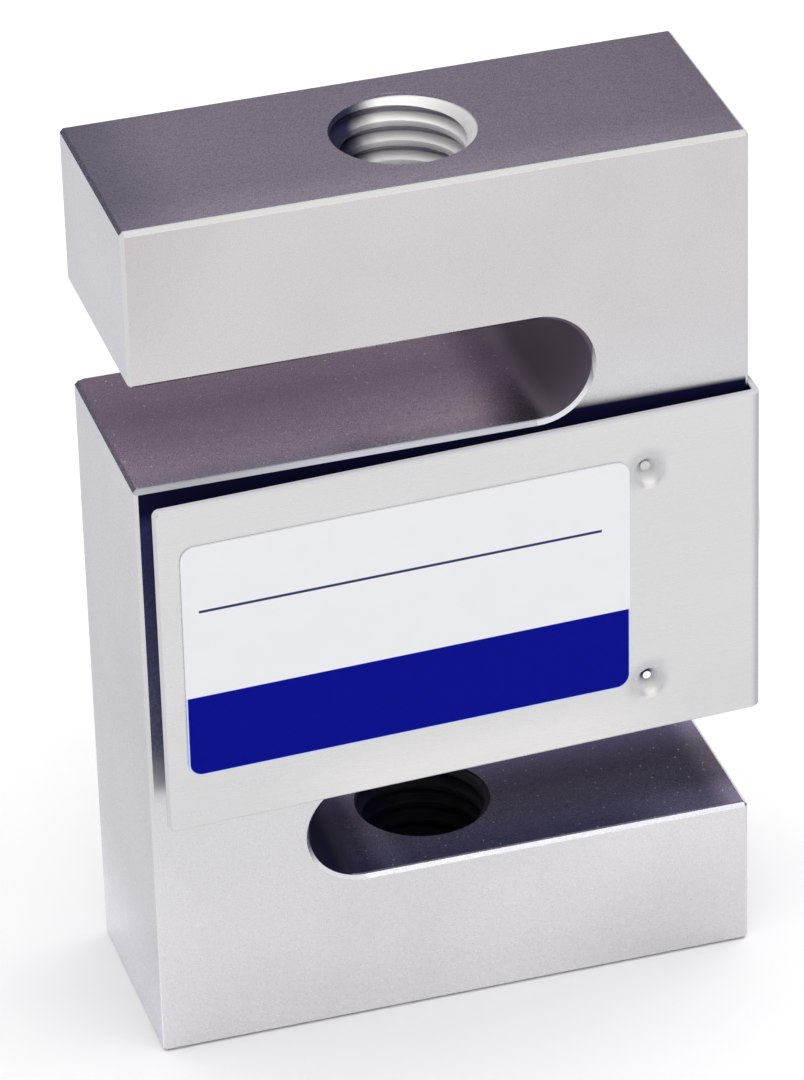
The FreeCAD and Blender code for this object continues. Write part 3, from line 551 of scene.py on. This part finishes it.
@dataclass(frozen=True)
class LabelFilm:
    """White film with a thin dark rule, and a deep blue band along its foot inside a pale border."""

    corner: tuple[float, float, float]
    lean: float
    skew: float
    size: tuple[float, float]
    name: str = "label_film"
    white: Colour = (0.81, 0.82, 0.845)
    blue: Colour = (0.0016, 0.0035, 0.235)
    pale: Colour = (0.55, 0.66, 0.90)
    navy: Colour = (0.035, 0.045, 0.12)
    round_off: float = 1.2 * MM
    border: float = 0.12 * MM
    band_top: float = 7.35 * MM
    rule_up: float = 15.15 * MM
    rule_span: tuple[float, float] = (1.35 * MM, 35.2 * MM)
    rule_half: float = 0.12 * MM

    def make(self) -> bpy.types.Material:
        """Colours by the distance along and up the label from its lower left corner, and from its rounded outline."""
        r = Recipe(self.name)
        shifted = r.node("ShaderNodeVectorMath", {"operation": "SUBTRACT"})
        r.feed(shifted.inputs[0], r.place)
        r.feed(shifted.inputs[1], self.corner)
        about_z = {"rotation_type": "Z_AXIS"}
        lean = r.node("ShaderNodeVectorRotate", about_z, Vector=shifted.outputs[0], Angle=-self.lean)
        flat = r.node("ShaderNodeVectorRotate", {"rotation_type": "Y_AXIS"}, Vector=lean.outputs[0], Angle=-self.skew)
        along, _, up = r.split(flat.outputs[0])
        soft = 0.03 * MM
        cloud = r.noise(r.place, 240.0, 2.0)
        paper = r.mix(r.ramp(cloud, 0.3, 0.7, 0.0, 0.35), self.white, tuple(0.97 * c for c in self.white))
        ink = r.noise(r.place, 3000.0, 2.0)
        band = r.ramp(up, self.band_top - soft, self.band_top + soft, 1.0, 0.0)
        blue = r.mix(r.ramp(ink, 0.3, 0.7, 0.0, 0.5), self.blue, tuple(1.25 * c for c in self.blue))
        reach = []
        for place, half in zip((along, up), (side / 2 for side in self.size)):
            from_middle = r.maths("ABSOLUTE", r.maths("SUBTRACT", place, half))
            reach.append(r.maths("MAXIMUM", r.maths("SUBTRACT", from_middle, half - self.round_off), 0.0))
        out = r.maths("SQRT", r.maths("ADD", *(r.maths("MULTIPLY", part, part) for part in reach)))
        edge = self.round_off - self.border
        blue = r.mix(r.ramp(out, edge - soft, edge + soft), blue, self.pale)
        colour = r.mix(band, paper, blue)
        off_rule = r.maths("ABSOLUTE", r.maths("SUBTRACT", up, self.rule_up))
        rule = r.ramp(off_rule, self.rule_half - soft, self.rule_half + soft, 1.0, 0.0)
        for end, sign in zip(self.rule_span, (1, -1)):
            inside = r.maths("MULTIPLY", r.maths("SUBTRACT", along, end), sign)
            rule = r.maths("MULTIPLY", rule, r.ramp(inside, -soft, soft))
        colour = r.mix(rule, colour, self.navy)
        r.set(
            Base_Color=colour,
            Roughness=r.ramp(ink, 0.3, 0.7, 0.42, 0.5),
            Specular_IOR_Level=0.03,
            Normal=r.bump(cloud, 0.000002),
        )
        return r.material


@dataclass(frozen=True)
class CutSteel:
    """Bright machined steel, for pins and the inlet's metal parts."""

    name: str
    light: Colour = (0.84, 0.83, 0.80)
    dark: Colour = (0.62, 0.61, 0.60)
    rough: tuple[float, float] = (0.22, 0.36)
    grain: float = 4200.0
    relief: float = 0.000002

    def make(self) -> bpy.types.Material:
        """Speckle in colour, gloss and relief."""
        r = Recipe(self.name)
        speckle = r.noise(r.place, self.grain, 3.0, 0.6)
        cloud = r.noise(r.place, 350.0, 2.0)
        tone = r.maths("MULTIPLY_ADD", speckle, 0.5, r.maths("MULTIPLY", cloud, 0.5))
        r.set(
            Base_Color=r.mix(r.ramp(tone, 0.3, 0.7), self.dark, self.light),
            Metallic=1.0,
            Roughness=r.ramp(speckle, 0.3, 0.7, *self.rough),
            Normal=r.bump(speckle, self.relief),
        )
        return r.material


@dataclass(frozen=True)
class PinSteel:
    """Bright pin ends with a dark edge below; the upper pins are peened over in the colour of the sheet."""

    across: float
    up: tuple[float, float]
    radius: float
    name: str = "pin_end"
    bright: Colour = (0.97, 0.97, 0.99)
    peened: Colour = (0.60, 0.60, 0.61)
    edge: Colour = (0.05, 0.08, 0.14)

    def make(self) -> bpy.types.Material:
        """Two tones, split half way between the pins, and the edge by the distance from the lower axis."""
        r = Recipe(self.name)
        speckle = r.noise(r.place, 3800.0, 2.0)
        _, _, z = r.split(r.place)
        upper = r.maths("GREATER_THAN", z, sum(self.up) / 2)
        tone = r.mix(upper, self.bright, self.peened)
        colour = r.mix(r.ramp(speckle, 0.3, 0.7, 0.0, 0.25), tone, r.mix(1.0, tone, (0.9, 0.9, 0.9), Blend.MULTIPLY))
        away = r.away_from(self.across, self.up[0])
        edge = r.both(r.ramp(away, self.radius - 0.07 * MM, self.radius - 0.03 * MM), r.maths("SUBTRACT", 1.0, upper))
        colour = r.mix(edge, colour, self.edge)
        r.set(
            Base_Color=colour,
            Metallic=1.0,
            Roughness=r.ramp(speckle, 0.3, 0.7, 0.28, 0.36),
            Normal=r.bump(speckle, 0.000001),
        )
        return r.material


@dataclass(frozen=True)
class ThreadSteel:
    """Cut flanks with fine marks that run round the hole, with painted shade on one side and in the roots of the
    grooves.
    """

    name: str
    light: Colour
    dark: Colour
    # Painted shade: the dark side of the hole, and the roots of the grooves.
    side_shade: Colour = (0.02, 0.02, 0.06)
    groove_shade: Colour = (0.42, 0.38, 0.50)
    mouth: Colour = (0.90, 0.895, 0.88)
    mouth_up: float = 74.6 * MM
    root: float = 5.985 * MM
    shade_side: tuple[float, float] = (0.957, -0.29)
    shade_span: tuple[float, float] = (-4.5 * MM, -1.9 * MM)
    metallic: float = 0.4

    def make(self) -> bpy.types.Material:
        """Noise of the distance from the load axis and the height, which is even all round the hole."""
        r = Recipe(self.name)
        x, y, z = r.split(r.place)
        flat = r.node("ShaderNodeCombineXYZ", X=x, Y=y)
        out = r.node("ShaderNodeVectorMath", {"operation": "LENGTH"})
        r.feed(out.inputs[0], flat.outputs[0])
        ring = r.node("ShaderNodeCombineXYZ", X=out.outputs["Value"], Y=z)
        marks = r.noise(ring.outputs[0], 5200.0, 3.0, 0.6)
        cloud = r.noise(r.place, 500.0, 2.0)
        tone = r.maths("MULTIPLY_ADD", marks, 0.65, r.maths("MULTIPLY", cloud, 0.35))
        colour = r.mix(r.ramp(tone, 0.25, 0.7), self.dark, self.light)
        # Painted shade on one side of the hole: its mask, with a cloudy edge, is laid on last.
        across = r.maths("ADD", *(r.maths("MULTIPLY", part, share) for part, share in zip((x, y), self.shade_side)))
        across = r.maths("MULTIPLY_ADD", cloud, 1.2 * MM, r.maths("SUBTRACT", across, 0.6 * MM))
        colour = r.tinted(r.ramp(z, self.mouth_up - 0.3 * MM, self.mouth_up), colour, self.mouth)
        # Painted shade in the roots of the grooves.
        groove_shade = r.ramp(out.outputs["Value"], self.root - 0.22 * MM, self.root - 0.06 * MM)
        colour = r.tinted(r.both(groove_shade, r.ramp(marks, 0.3, 0.6, 0.5, 1.0)), colour, self.groove_shade)
        colour = r.mix(r.ramp(across, *self.shade_span, 1.0, 0.0), colour, self.side_shade)
        r.set(
            Base_Color=colour,
            Metallic=self.metallic,
            Roughness=r.ramp(marks, 0.3, 0.7, 0.42, 0.55),
            Specular_IOR_Level=0.3,
            Normal=r.bump(marks, 0.0000012),
        )
        return r.material


@dataclass(frozen=True)
class Cast:
    """A matt or glossy non-metal with a mottled colour: silicone, foam, rubber, laminate or foil."""

    name: str
    light: Colour
    dark: Colour
    rough: float
    grain: float = 900.0
    relief: float = 0.00001
    sheen: float = 0.0
    coat: float = 0.0

    def make(self) -> bpy.types.Material:
        """Mottled colour with a matching relief."""
        r = Recipe(self.name)
        mottle = r.noise(r.place, self.grain, 4.0, 0.6)
        r.set(
            Base_Color=r.mix(r.ramp(mottle, 0.3, 0.7), self.dark, self.light),
            Roughness=r.ramp(mottle, 0.3, 0.7, self.rough - 0.06, self.rough + 0.06),
            Normal=r.bump(mottle, self.relief),
            Sheen_Weight=self.sheen,
            Coat_Weight=self.coat,
        )
        return r.material


def dress(node: str, material: bpy.types.Material) -> None:
    """Put one material in a CAD node's slots.

    Args:
        node: name of the node.
        material: its finish.
    """
    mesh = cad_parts[node].data
    mesh.materials.clear()
    mesh.materials.append(material)
    log.info("%s dressed in %s", node, material.name)


# ---------------------------------------------------------------- meshes
def grid_faces(rows: int, columns: int, wrap_rows: bool = False, wrap_columns: bool = False) -> np.ndarray:
    """Corner numbers of the quads of a grid of points.

    A quad joins point (i, j) to (i + 1, j), (i + 1, j + 1) and (i, j + 1), counted modulo where it wraps.

    Args:
        rows: number of rows.
        columns: number of columns.
        wrap_rows: whether the last row joins the first.
        wrap_columns: whether the last column joins the first.

    Returns:
        An array with one row of four numbers for each quad.
    """
    i, j = np.meshgrid(
        np.arange(rows if wrap_rows else rows - 1), np.arange(columns if wrap_columns else columns - 1), indexing="ij"
    )
    down, right = (i + 1) % rows, (j + 1) % columns
    quads = [i * columns + j, down * columns + j, down * columns + right, i * columns + right]
    return np.stack([quad.ravel() for quad in quads], axis=1)


def shade_by_angle(shape: bmesh.types.BMesh, crease: float) -> None:
    """Shade a mesh smooth except across the edges that turn by more than an angle.

    Args:
        shape: the mesh being edited.
        crease: that angle in degrees.
    """
    limit = math.radians(crease)
    for face in shape.faces:
        face.smooth = True
    for edge in shape.edges:
        edge.smooth = len(edge.link_faces) == 2 and edge.calc_face_angle(0.0) < limit


def new_piece(
    name: str, points: np.ndarray, faces: Iterable, material: bpy.types.Material, crease: float = 35.0
) -> bpy.types.Object:
    """Make a smooth mesh piece that rides on the root body.

    Args:
        name: name of the piece.
        points: array of points in metres.
        faces: corner numbers of each face.
        material: finish of the piece.
        crease: angle in degrees above which an edge stays sharp.

    Returns:
        The new object.
    """
    mesh = bpy.data.meshes.new(name)
    mesh.from_pydata(points.tolist(), [], [list(map(int, face)) for face in faces])
    mesh.validate()
    shape = bmesh.new()
    shape.from_mesh(mesh)
    bmesh.ops.recalc_face_normals(shape, faces=shape.faces)
    shade_by_angle(shape, crease)
    shape.to_mesh(mesh)
    shape.free()
    mesh.materials.append(material)
    piece = bpy.data.objects.new(name, mesh)
    bpy.context.scene.collection.objects.link(piece)
    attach(piece, "root")
    log.info("%s made with %d points", name, len(points))
    return piece


def smooth_copy(node: str, material: bpy.types.Material, crease: float = 30.0) -> bpy.types.Object:
    """Stand in for a CAD node with a merged copy whose bevels and curves are shaded round.

    The shape is the node's own.  Its loose triangles are joined at their corners, edges that turn by more than
    the crease angle stay sharp, and the larger faces set the normals at the rest.

    Args:
        node: name of the CAD node.
        material: finish of the piece.
        crease: angle in degrees above which an edge stays sharp.

    Returns:
        The new object.
    """
    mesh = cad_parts[node].data.copy()
    mesh.name = f"{node}_skin"
    loose_normals = mesh.attributes.get("custom_normal")
    if loose_normals is not None:
        mesh.attributes.remove(loose_normals)
    shape = bmesh.new()
    shape.from_mesh(mesh)
    bmesh.ops.remove_doubles(shape, verts=shape.verts, dist=0.001 * MM)
    bmesh.ops.dissolve_degenerate(shape, edges=shape.edges, dist=0.0005 * MM)
    bmesh.ops.dissolve_limit(shape, angle_limit=math.radians(0.3), verts=shape.verts, edges=shape.edges)
    shade_by_angle(shape, crease)
    shape.to_mesh(mesh)
    shape.free()
    mesh.materials.clear()
    mesh.materials.append(material)
    piece = bpy.data.objects.new(f"{node}_skin", mesh)
    bpy.context.scene.collection.objects.link(piece)
    weigh = piece.modifiers.new("round_shading", "WEIGHTED_NORMAL")
    weigh.mode = "FACE_AREA"
    weigh.weight = 100
    weigh.keep_sharp = True
    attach(piece, "root")
    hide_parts(node)
    log.info("%s stands in for %s with %d faces", piece.name, node, len(mesh.polygons))
    return piece


# ---------------------------------------------------------------- the load cell's parts
@dataclass
class LoadThread:
    """The turns of one load thread in the plain bore of an arm, with a narrow land round each mouth."""

    name: str
    low: float
    high: float
    sinks: tuple[float, float]
    rim_radius: float
    lead: float = -0.61
    pitch: float = 1.75 * MM
    crest_radius: float = 5.05 * MM
    root_radius: float = 5.985 * MM
    outer_radius: float = 6.06 * MM
    skim: float = 0.002 * MM
    steps: int = 120

    def profile(self) -> np.ndarray:
        """Section of one turn as (share of a pitch along the axis, radius).

        The crest is a quarter of a pitch wide, the flanks lean by 30 degrees, and each corner of the crest is eased.
        """
        slope = self.pitch / math.tan(math.radians(30.0))
        root = 0.125 + (self.root_radius - self.crest_radius) / slope
        places = np.array([0.112, 0.137, 0.150, 0.168, root - 0.015, root, 0.5, 0.5])
        radii = self.crest_radius + np.maximum(places - 0.125, 0.0) * slope
        radii[:2] = self.crest_radius, self.crest_radius + 0.022 * MM
        radii[5:] = self.root_radius, self.root_radius, self.outer_radius
        return np.stack([np.r_[-places[::-1], places], np.r_[radii[::-1], radii]], axis=1)

    def turns(self, material: bpy.types.Material) -> bpy.types.Object:
        """A ridge along a helix: the section is carried up the axis by one pitch in each turn.

        Every point is held inside the arm and outside the two mouths' cones, so the ridge fades out at both ends.

        Args:
            material: finish of the thread.

        Returns:
            The thread's piece.
        """
        section = self.profile()
        count = (self.high - self.low) / self.pitch + 1.2
        angle = np.linspace(0.0, 2 * math.pi * count, int(self.steps * count))
        height = self.low + self.pitch * (self.lead + angle[:, None] / (2 * math.pi) + section[None, :, 0])
        height = np.clip(height, self.low + 0.01 * MM, self.high - 0.01 * MM)
        cone = self.rim_radius - np.minimum(height - self.low, self.high - height)
        radius = np.minimum(np.maximum(section[None, :, 1], cone), self.outer_radius)
        points = np.stack([radius * np.cos(angle)[:, None], radius * np.sin(angle)[:, None], height], axis=-1)
        across = section.shape[0]
        faces = [list(face) for face in grid_faces(len(angle), across, wrap_columns=True)]
        last = len(angle) * across
        faces += [list(range(across)), list(range(last - 1, last - 1 - across, -1))]
        return new_piece(f"{self.name}_turns", points.reshape(-1, 3), faces, material)

    def land(
        self, end: str, face: float, inward: float, sink: float, material: bpy.types.Material
    ) -> bpy.types.Object:
        """A flat ring in one mouth, just under the arm's face: a four-cornered section carried round the axis.

        Args:
            end: name of the end, for the piece's name.
            face: height of the arm's face.
            inward: 1 where the arm lies above the face and -1 where it lies below.
            sink: radius of the mouth that the ring narrows.
            material: finish of the ring.

        Returns:
            The ring's piece.
        """
        near, far = face + inward * self.skim, face + inward * 0.45 * MM
        inside, outside = self.rim_radius - 0.02 * MM, sink + 0.06 * MM
        section = np.array([(inside, near), (outside, near), (outside, far), (inside, far)])
        angle = np.linspace(0.0, 2 * math.pi, self.steps, endpoint=False)
        radius = np.broadcast_to(section[:, 0], (len(angle), 4))
        points = np.stack(
            [
                radius * np.cos(angle)[:, None],
                radius * np.sin(angle)[:, None],
                np.broadcast_to(section[:, 1], (len(angle), 4)),
            ],
            axis=-1,
        )
        faces = grid_faces(len(angle), 4, wrap_rows=True, wrap_columns=True)
        return new_piece(f"{self.name}_{end}_land", points.reshape(-1, 3), faces, material)

    def build(self, cut: bpy.types.Material, ground: bpy.types.Material) -> None:
        """Make the turns and both lands.

        Args:
            cut: finish of the turns.
            ground: finish of the lands, which is the arm's own.
        """
        self.turns(cut)
        self.land("lower", self.low, 1.0, self.sinks[0], ground)
        self.land("upper", self.high, -1.0, self.sinks[1], ground)


@dataclass
class SpringElement:
    """The one-piece S block, with its two threads."""

    arm: float = 13.6 * MM
    slot: float = 9.2 * MM
    slot_reach: float = 12.2 * MM
    mouth_radius: float = 6.4 * MM
    exit_radius: float = 6.2 * MM
    upper_rim_radius: float = 5.92 * MM
    lower_rim_radius: float = 5.7 * MM

    def build(self) -> None:
        """Dress the block and cut its threads."""
        low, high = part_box("body")
        under, over = high.z - self.arm, low.z + self.arm
        slots = (under - self.slot, under), (over, over + self.slot)
        nickel = GroundNickel(low, high, *slots, self.slot_reach).make()
        smooth_copy("body", nickel)
        # Two copies of the thread finish: the upper thread's pale copy is painted light, the lower thread's
        # near-black copy painted shade.
        bright = ThreadSteel("light_painted_thread", (0.97, 0.965, 0.95), (0.94, 0.93, 0.92)).make()
        shade_painted = ThreadSteel("shade_painted_thread", (0.06, 0.06, 0.07), (0.02, 0.02, 0.028)).make()
        sinks = (self.exit_radius, self.mouth_radius)
        LoadThread("upper_thread", under, high.z, sinks, self.upper_rim_radius).build(bright, nickel)
        LoadThread("lower_thread", low.z, over, sinks[::-1], self.lower_rim_radius).build(shade_painted, nickel)


@dataclass
class CoverPlate:
    """The folded sheet, its pins and the label on it."""

    thickness: float = 0.6 * MM
    free_gap: float = 3.2 * MM
    fold_gap: float = 0.8 * MM
    free_inset: float = 0.52 * MM
    skew: float = math.radians(0.3)
    rear_step: float = 0.62 * MM
    label_inset: float = 1.8 * MM
    label_rise: float = 4.95 * MM
    label_size: tuple[float, float] = (37.6 * MM, 21.1 * MM)

    def build(self) -> None:
        """Dress the sheet, pins and label from their places in the frame."""
        low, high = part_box("cover_pins")
        body_low, body_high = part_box("body")
        sheet_low, sheet_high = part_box("cover")
        across = (low.x + high.x) / 2
        radius = (high.x - low.x) / 2
        lean = math.atan2(self.free_gap - self.fold_gap, body_high.x - body_low.x - self.free_inset)
        corner = (
            body_low.x + self.free_inset + self.thickness * math.sin(lean),
            body_low.y - self.free_gap - self.thickness * math.cos(lean),
            sheet_low.z,
        )
        heights = (low.z + radius, high.z - radius)
        sheet = BrushedSheet(corner, sheet_high.z, lean, across, heights)
        self.ease_rear_edge(smooth_copy("cover", sheet.make(), 42.0))
        dress("cover_pins", PinSteel(across, heights, radius).make())
        foot = (
            corner[0] + self.label_inset * math.cos(lean),
            corner[1] + self.label_inset * math.sin(lean),
            corner[2] + self.label_rise,
        )
        dress("label", LabelFilm(foot, lean, self.skew, self.label_size).make())

    def ease_rear_edge(self, sheet: bpy.types.Object) -> None:
        """Lower the rear panel's top edge: every point there sinks by the same step, which starts in the rear fold.

        Args:
            sheet: the sheet's piece.
        """
        _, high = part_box("cover")
        mesh = sheet.data
        points = np.empty(len(mesh.vertices) * 3, dtype=np.float32)
        mesh.vertices.foreach_get("co", points)
        points = points.reshape(-1, 3)
        share = np.clip((points[:, 1] - high.y + 1.0 * MM) / (0.4 * MM), 0.0, 1.0)
        points[:, 2] -= np.where(points[:, 2] > high.z - 1.0 * MM, share * self.rear_step, 0.0)
        mesh.vertices.foreach_set("co", points.ravel())
        mesh.update()


@dataclass
class GaugeCavity:
    """What the sealed cavity holds."""

    def build(self) -> None:
        """Dress the plugs, gauges, leads, board and resistors."""
        silicone = Cast("cast_silicone", (0.84, 0.84, 0.82), (0.76, 0.76, 0.73), 0.45, 500.0).make()
        foil = Cast("amber_film", (0.78, 0.46, 0.12), (0.62, 0.32, 0.07), 0.25, 2500.0, coat=0.6).make()
        foam = Cast("foam_tape", (0.05, 0.05, 0.05), (0.02, 0.02, 0.02), 0.9, 2600.0, 0.00004, sheen=0.2).make()
        laminate = Cast("green_laminate", (0.03, 0.22, 0.08), (0.015, 0.15, 0.05), 0.3, 1800.0, coat=0.4).make()
        ceramic = Cast("chip_ceramic", (0.05, 0.05, 0.055), (0.03, 0.03, 0.035), 0.35, 3000.0).make()
        wire = CutSteel("flat_copper", light=(0.80, 0.42, 0.24), dark=(0.66, 0.30, 0.15)).make()
        solder = CutSteel("bright_solder", light=(0.82, 0.82, 0.83), dark=(0.70, 0.70, 0.72)).make()
        finishes = {
            "front_sealant": silicone,
            "rear_sealant": silicone,
            "board_pad": foam,
            "terminal_board": laminate,
            "board_terminals": solder,
        }
        finishes.update({f"{name}_resistor": ceramic for name in ("zero", "span", "nickel")})
        for level in ("upper", "lower"):
            for hand in ("left", "right"):
                finishes[f"gauge_{level}_{hand}"] = foil
                finishes[f"leads_{level}_{hand}"] = wire
        for node, material in finishes.items():
            dress(node, material)


@dataclass
class CableInlet:
    """The hollow screw with its washer and rubber seal."""

    def build(self) -> None:
        """Dress the inlet."""
        plate = CutSteel("plated_brass", light=(0.80, 0.79, 0.76), dark=(0.68, 0.67, 0.64)).make()
        dress("gland_screw", plate)
        dress("gland_washer", plate)
        dress("gland_seal", Cast("black_rubber", (0.035, 0.035, 0.035), (0.02, 0.02, 0.02), 0.6).make())


# ---------------------------------------------------------------- set, lights and camera
@dataclass
class Studio:
    """A pale floor, soft light and a dark band near the horizon that gives the metal something to mirror."""

    floor_size: float = 8.0
    floor_colour: Colour = (0.97, 0.97, 0.975)
    ambient: float = 0.74
    white_level: float = 1.0
    flag_radius: float = 1.6
    flag_rise: tuple[float, ...] = (6.0, 14.0, 22.0, 30.0, 38.0, 46.0, 50.0)
    flag_low: Colour = (0.02, 0.024, 0.085)
    flag_high: Colour = (0.205, 0.168, 0.228)

    def build(self) -> None:
        """Make the set."""
        self.make_floor()
        self.make_flags()
        self.make_world()
        self.make_lamp("top_lamp", (0.3, -0.4, 2.0), 2.4, 27.0)

    def make_floor(self) -> None:
        """A plain level sheet under the cell."""
        half = self.floor_size / 2
        r = Recipe("pale_floor")
        r.set(Base_Color=rgba(self.floor_colour), Roughness=0.9)
        mesh = bpy.data.meshes.new("floor")
        mesh.from_pydata([(-half, -half, 0), (half, -half, 0), (half, half, 0), (-half, half, 0)], [], [(0, 1, 2, 3)])
        mesh.transform(Matrix.Translation((0, 0, -2 * HAIR)))
        mesh.materials.append(r.material)
        floor = bpy.data.objects.new("floor", mesh)
        bpy.context.scene.collection.objects.link(floor)

    def make_flags(self) -> None:
        """A dark band all round the set: points on a sphere between two heights, seen only in reflections."""
        around = np.linspace(0, 2 * math.pi, 49)[:-1]
        rise = np.radians(self.flag_rise)
        spread = self.flag_radius * np.cos(rise)[:, None]
        height = np.broadcast_to(self.flag_radius * np.sin(rise)[:, None], (len(rise), len(around)))
        points = np.stack([spread * np.cos(around)[None, :], spread * np.sin(around)[None, :], height], axis=-1)
        r = Recipe("dark_flag")
        up = r.split(r.place)[2]
        low, high = (self.flag_radius * math.sin(math.radians(angle)) for angle in (12.0, 26.0))
        colour = r.mix(r.ramp(up, low, high), self.flag_low, self.flag_high)
        glow = r.node("ShaderNodeEmission", Color=colour, Strength=1.0)
        r.tree.links.new(glow.outputs[0], r.output.inputs["Surface"])
        mesh = bpy.data.meshes.new("flag")
        faces = grid_faces(len(rise), len(around), wrap_columns=True)
        mesh.from_pydata(points.reshape(-1, 3).tolist(), [], faces.tolist())
        mesh.materials.append(r.material)
        flag = bpy.data.objects.new("flag", mesh)
        bpy.context.scene.collection.objects.link(flag)
        flag.visible_camera = False
        flag.visible_diffuse = False
        flag.visible_shadow = False

    def make_world(self) -> None:
        """An even surround that is plain white to the camera and in reflections."""
        world = bpy.data.worlds.new("surround")
        world.use_nodes = True
        tree = world.node_tree
        back = tree.nodes["Background"]
        back.inputs["Color"].default_value = (1.0, 1.0, 1.0, 1.0)
        path = tree.nodes.new("ShaderNodeLightPath")
        seen = path.outputs["Is Camera Ray"]
        for name in ("Is Glossy Ray", "Is Transmission Ray"):
            join = tree.nodes.new("ShaderNodeMath")
            join.operation = "MAXIMUM"
            tree.links.new(seen, join.inputs[0])
            tree.links.new(path.outputs[name], join.inputs[1])
            seen = join.outputs[0]
        strength = tree.nodes.new("ShaderNodeMapRange")
        tree.links.new(seen, strength.inputs["Value"])
        strength.inputs["To Min"].default_value = self.ambient
        strength.inputs["To Max"].default_value = self.white_level
        tree.links.new(strength.outputs[0], back.inputs["Strength"])
        bpy.context.scene.world = world

    def make_lamp(self, name: str, place: Sequence[float], size: float, power: float) -> None:
        """A square soft lamp that faces straight down.

        Args:
            name: name of the lamp.
            place: where it hangs.
            size: side of the lamp in metres.
            power: power in watts.
        """
        lamp = bpy.data.lights.new(name, "AREA")
        lamp.shape = "SQUARE"
        lamp.size = size
        lamp.energy = power
        item = bpy.data.objects.new(name, lamp)
        item.location = place
        bpy.context.scene.collection.objects.link(item)


@dataclass(frozen=True)
class Viewpoint:
    """Where the camera stands and how it is turned."""

    place: tuple[float, float, float] = (-0.1269, -0.4392, 0.3128)
    right: tuple[float, float, float] = (0.9566, -0.2902, -0.0258)
    up: tuple[float, float, float] = (0.1705, 0.4858, 0.8573)
    ahead: tuple[float, float, float] = (0.2362, 0.8245, -0.5142)
    lens: float = 218.7

    def build(self) -> None:
        """Set the scene's camera."""
        camera = bpy.data.cameras.new("camera")
        camera.lens = self.lens
        camera.sensor_width = 36.0
        camera.clip_start = 0.01
        camera.clip_end = 50.0
        item = bpy.data.objects.new("camera", camera)
        columns = Matrix((self.right, self.up, tuple(-value for value in self.ahead))).transposed()
        item.matrix_world = Matrix.Translation(self.place) @ columns.to_4x4()
        bpy.context.scene.collection.objects.link(item)
        bpy.context.scene.camera = item


def main() -> None:
    """Build everything in order and note each part as it is done."""
    logging.basicConfig(level=logging.INFO, format="%(name)s: %(message)s")
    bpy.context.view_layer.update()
    for part in (Viewpoint(), SpringElement(), CoverPlate(), GaugeCavity(), CableInlet(), Studio()):
        part.build()
        log.info("%s done", type(part).__name__)
    bpy.context.scene.view_settings.view_transform = "Standard"


if __name__ == "__main__":
    main()
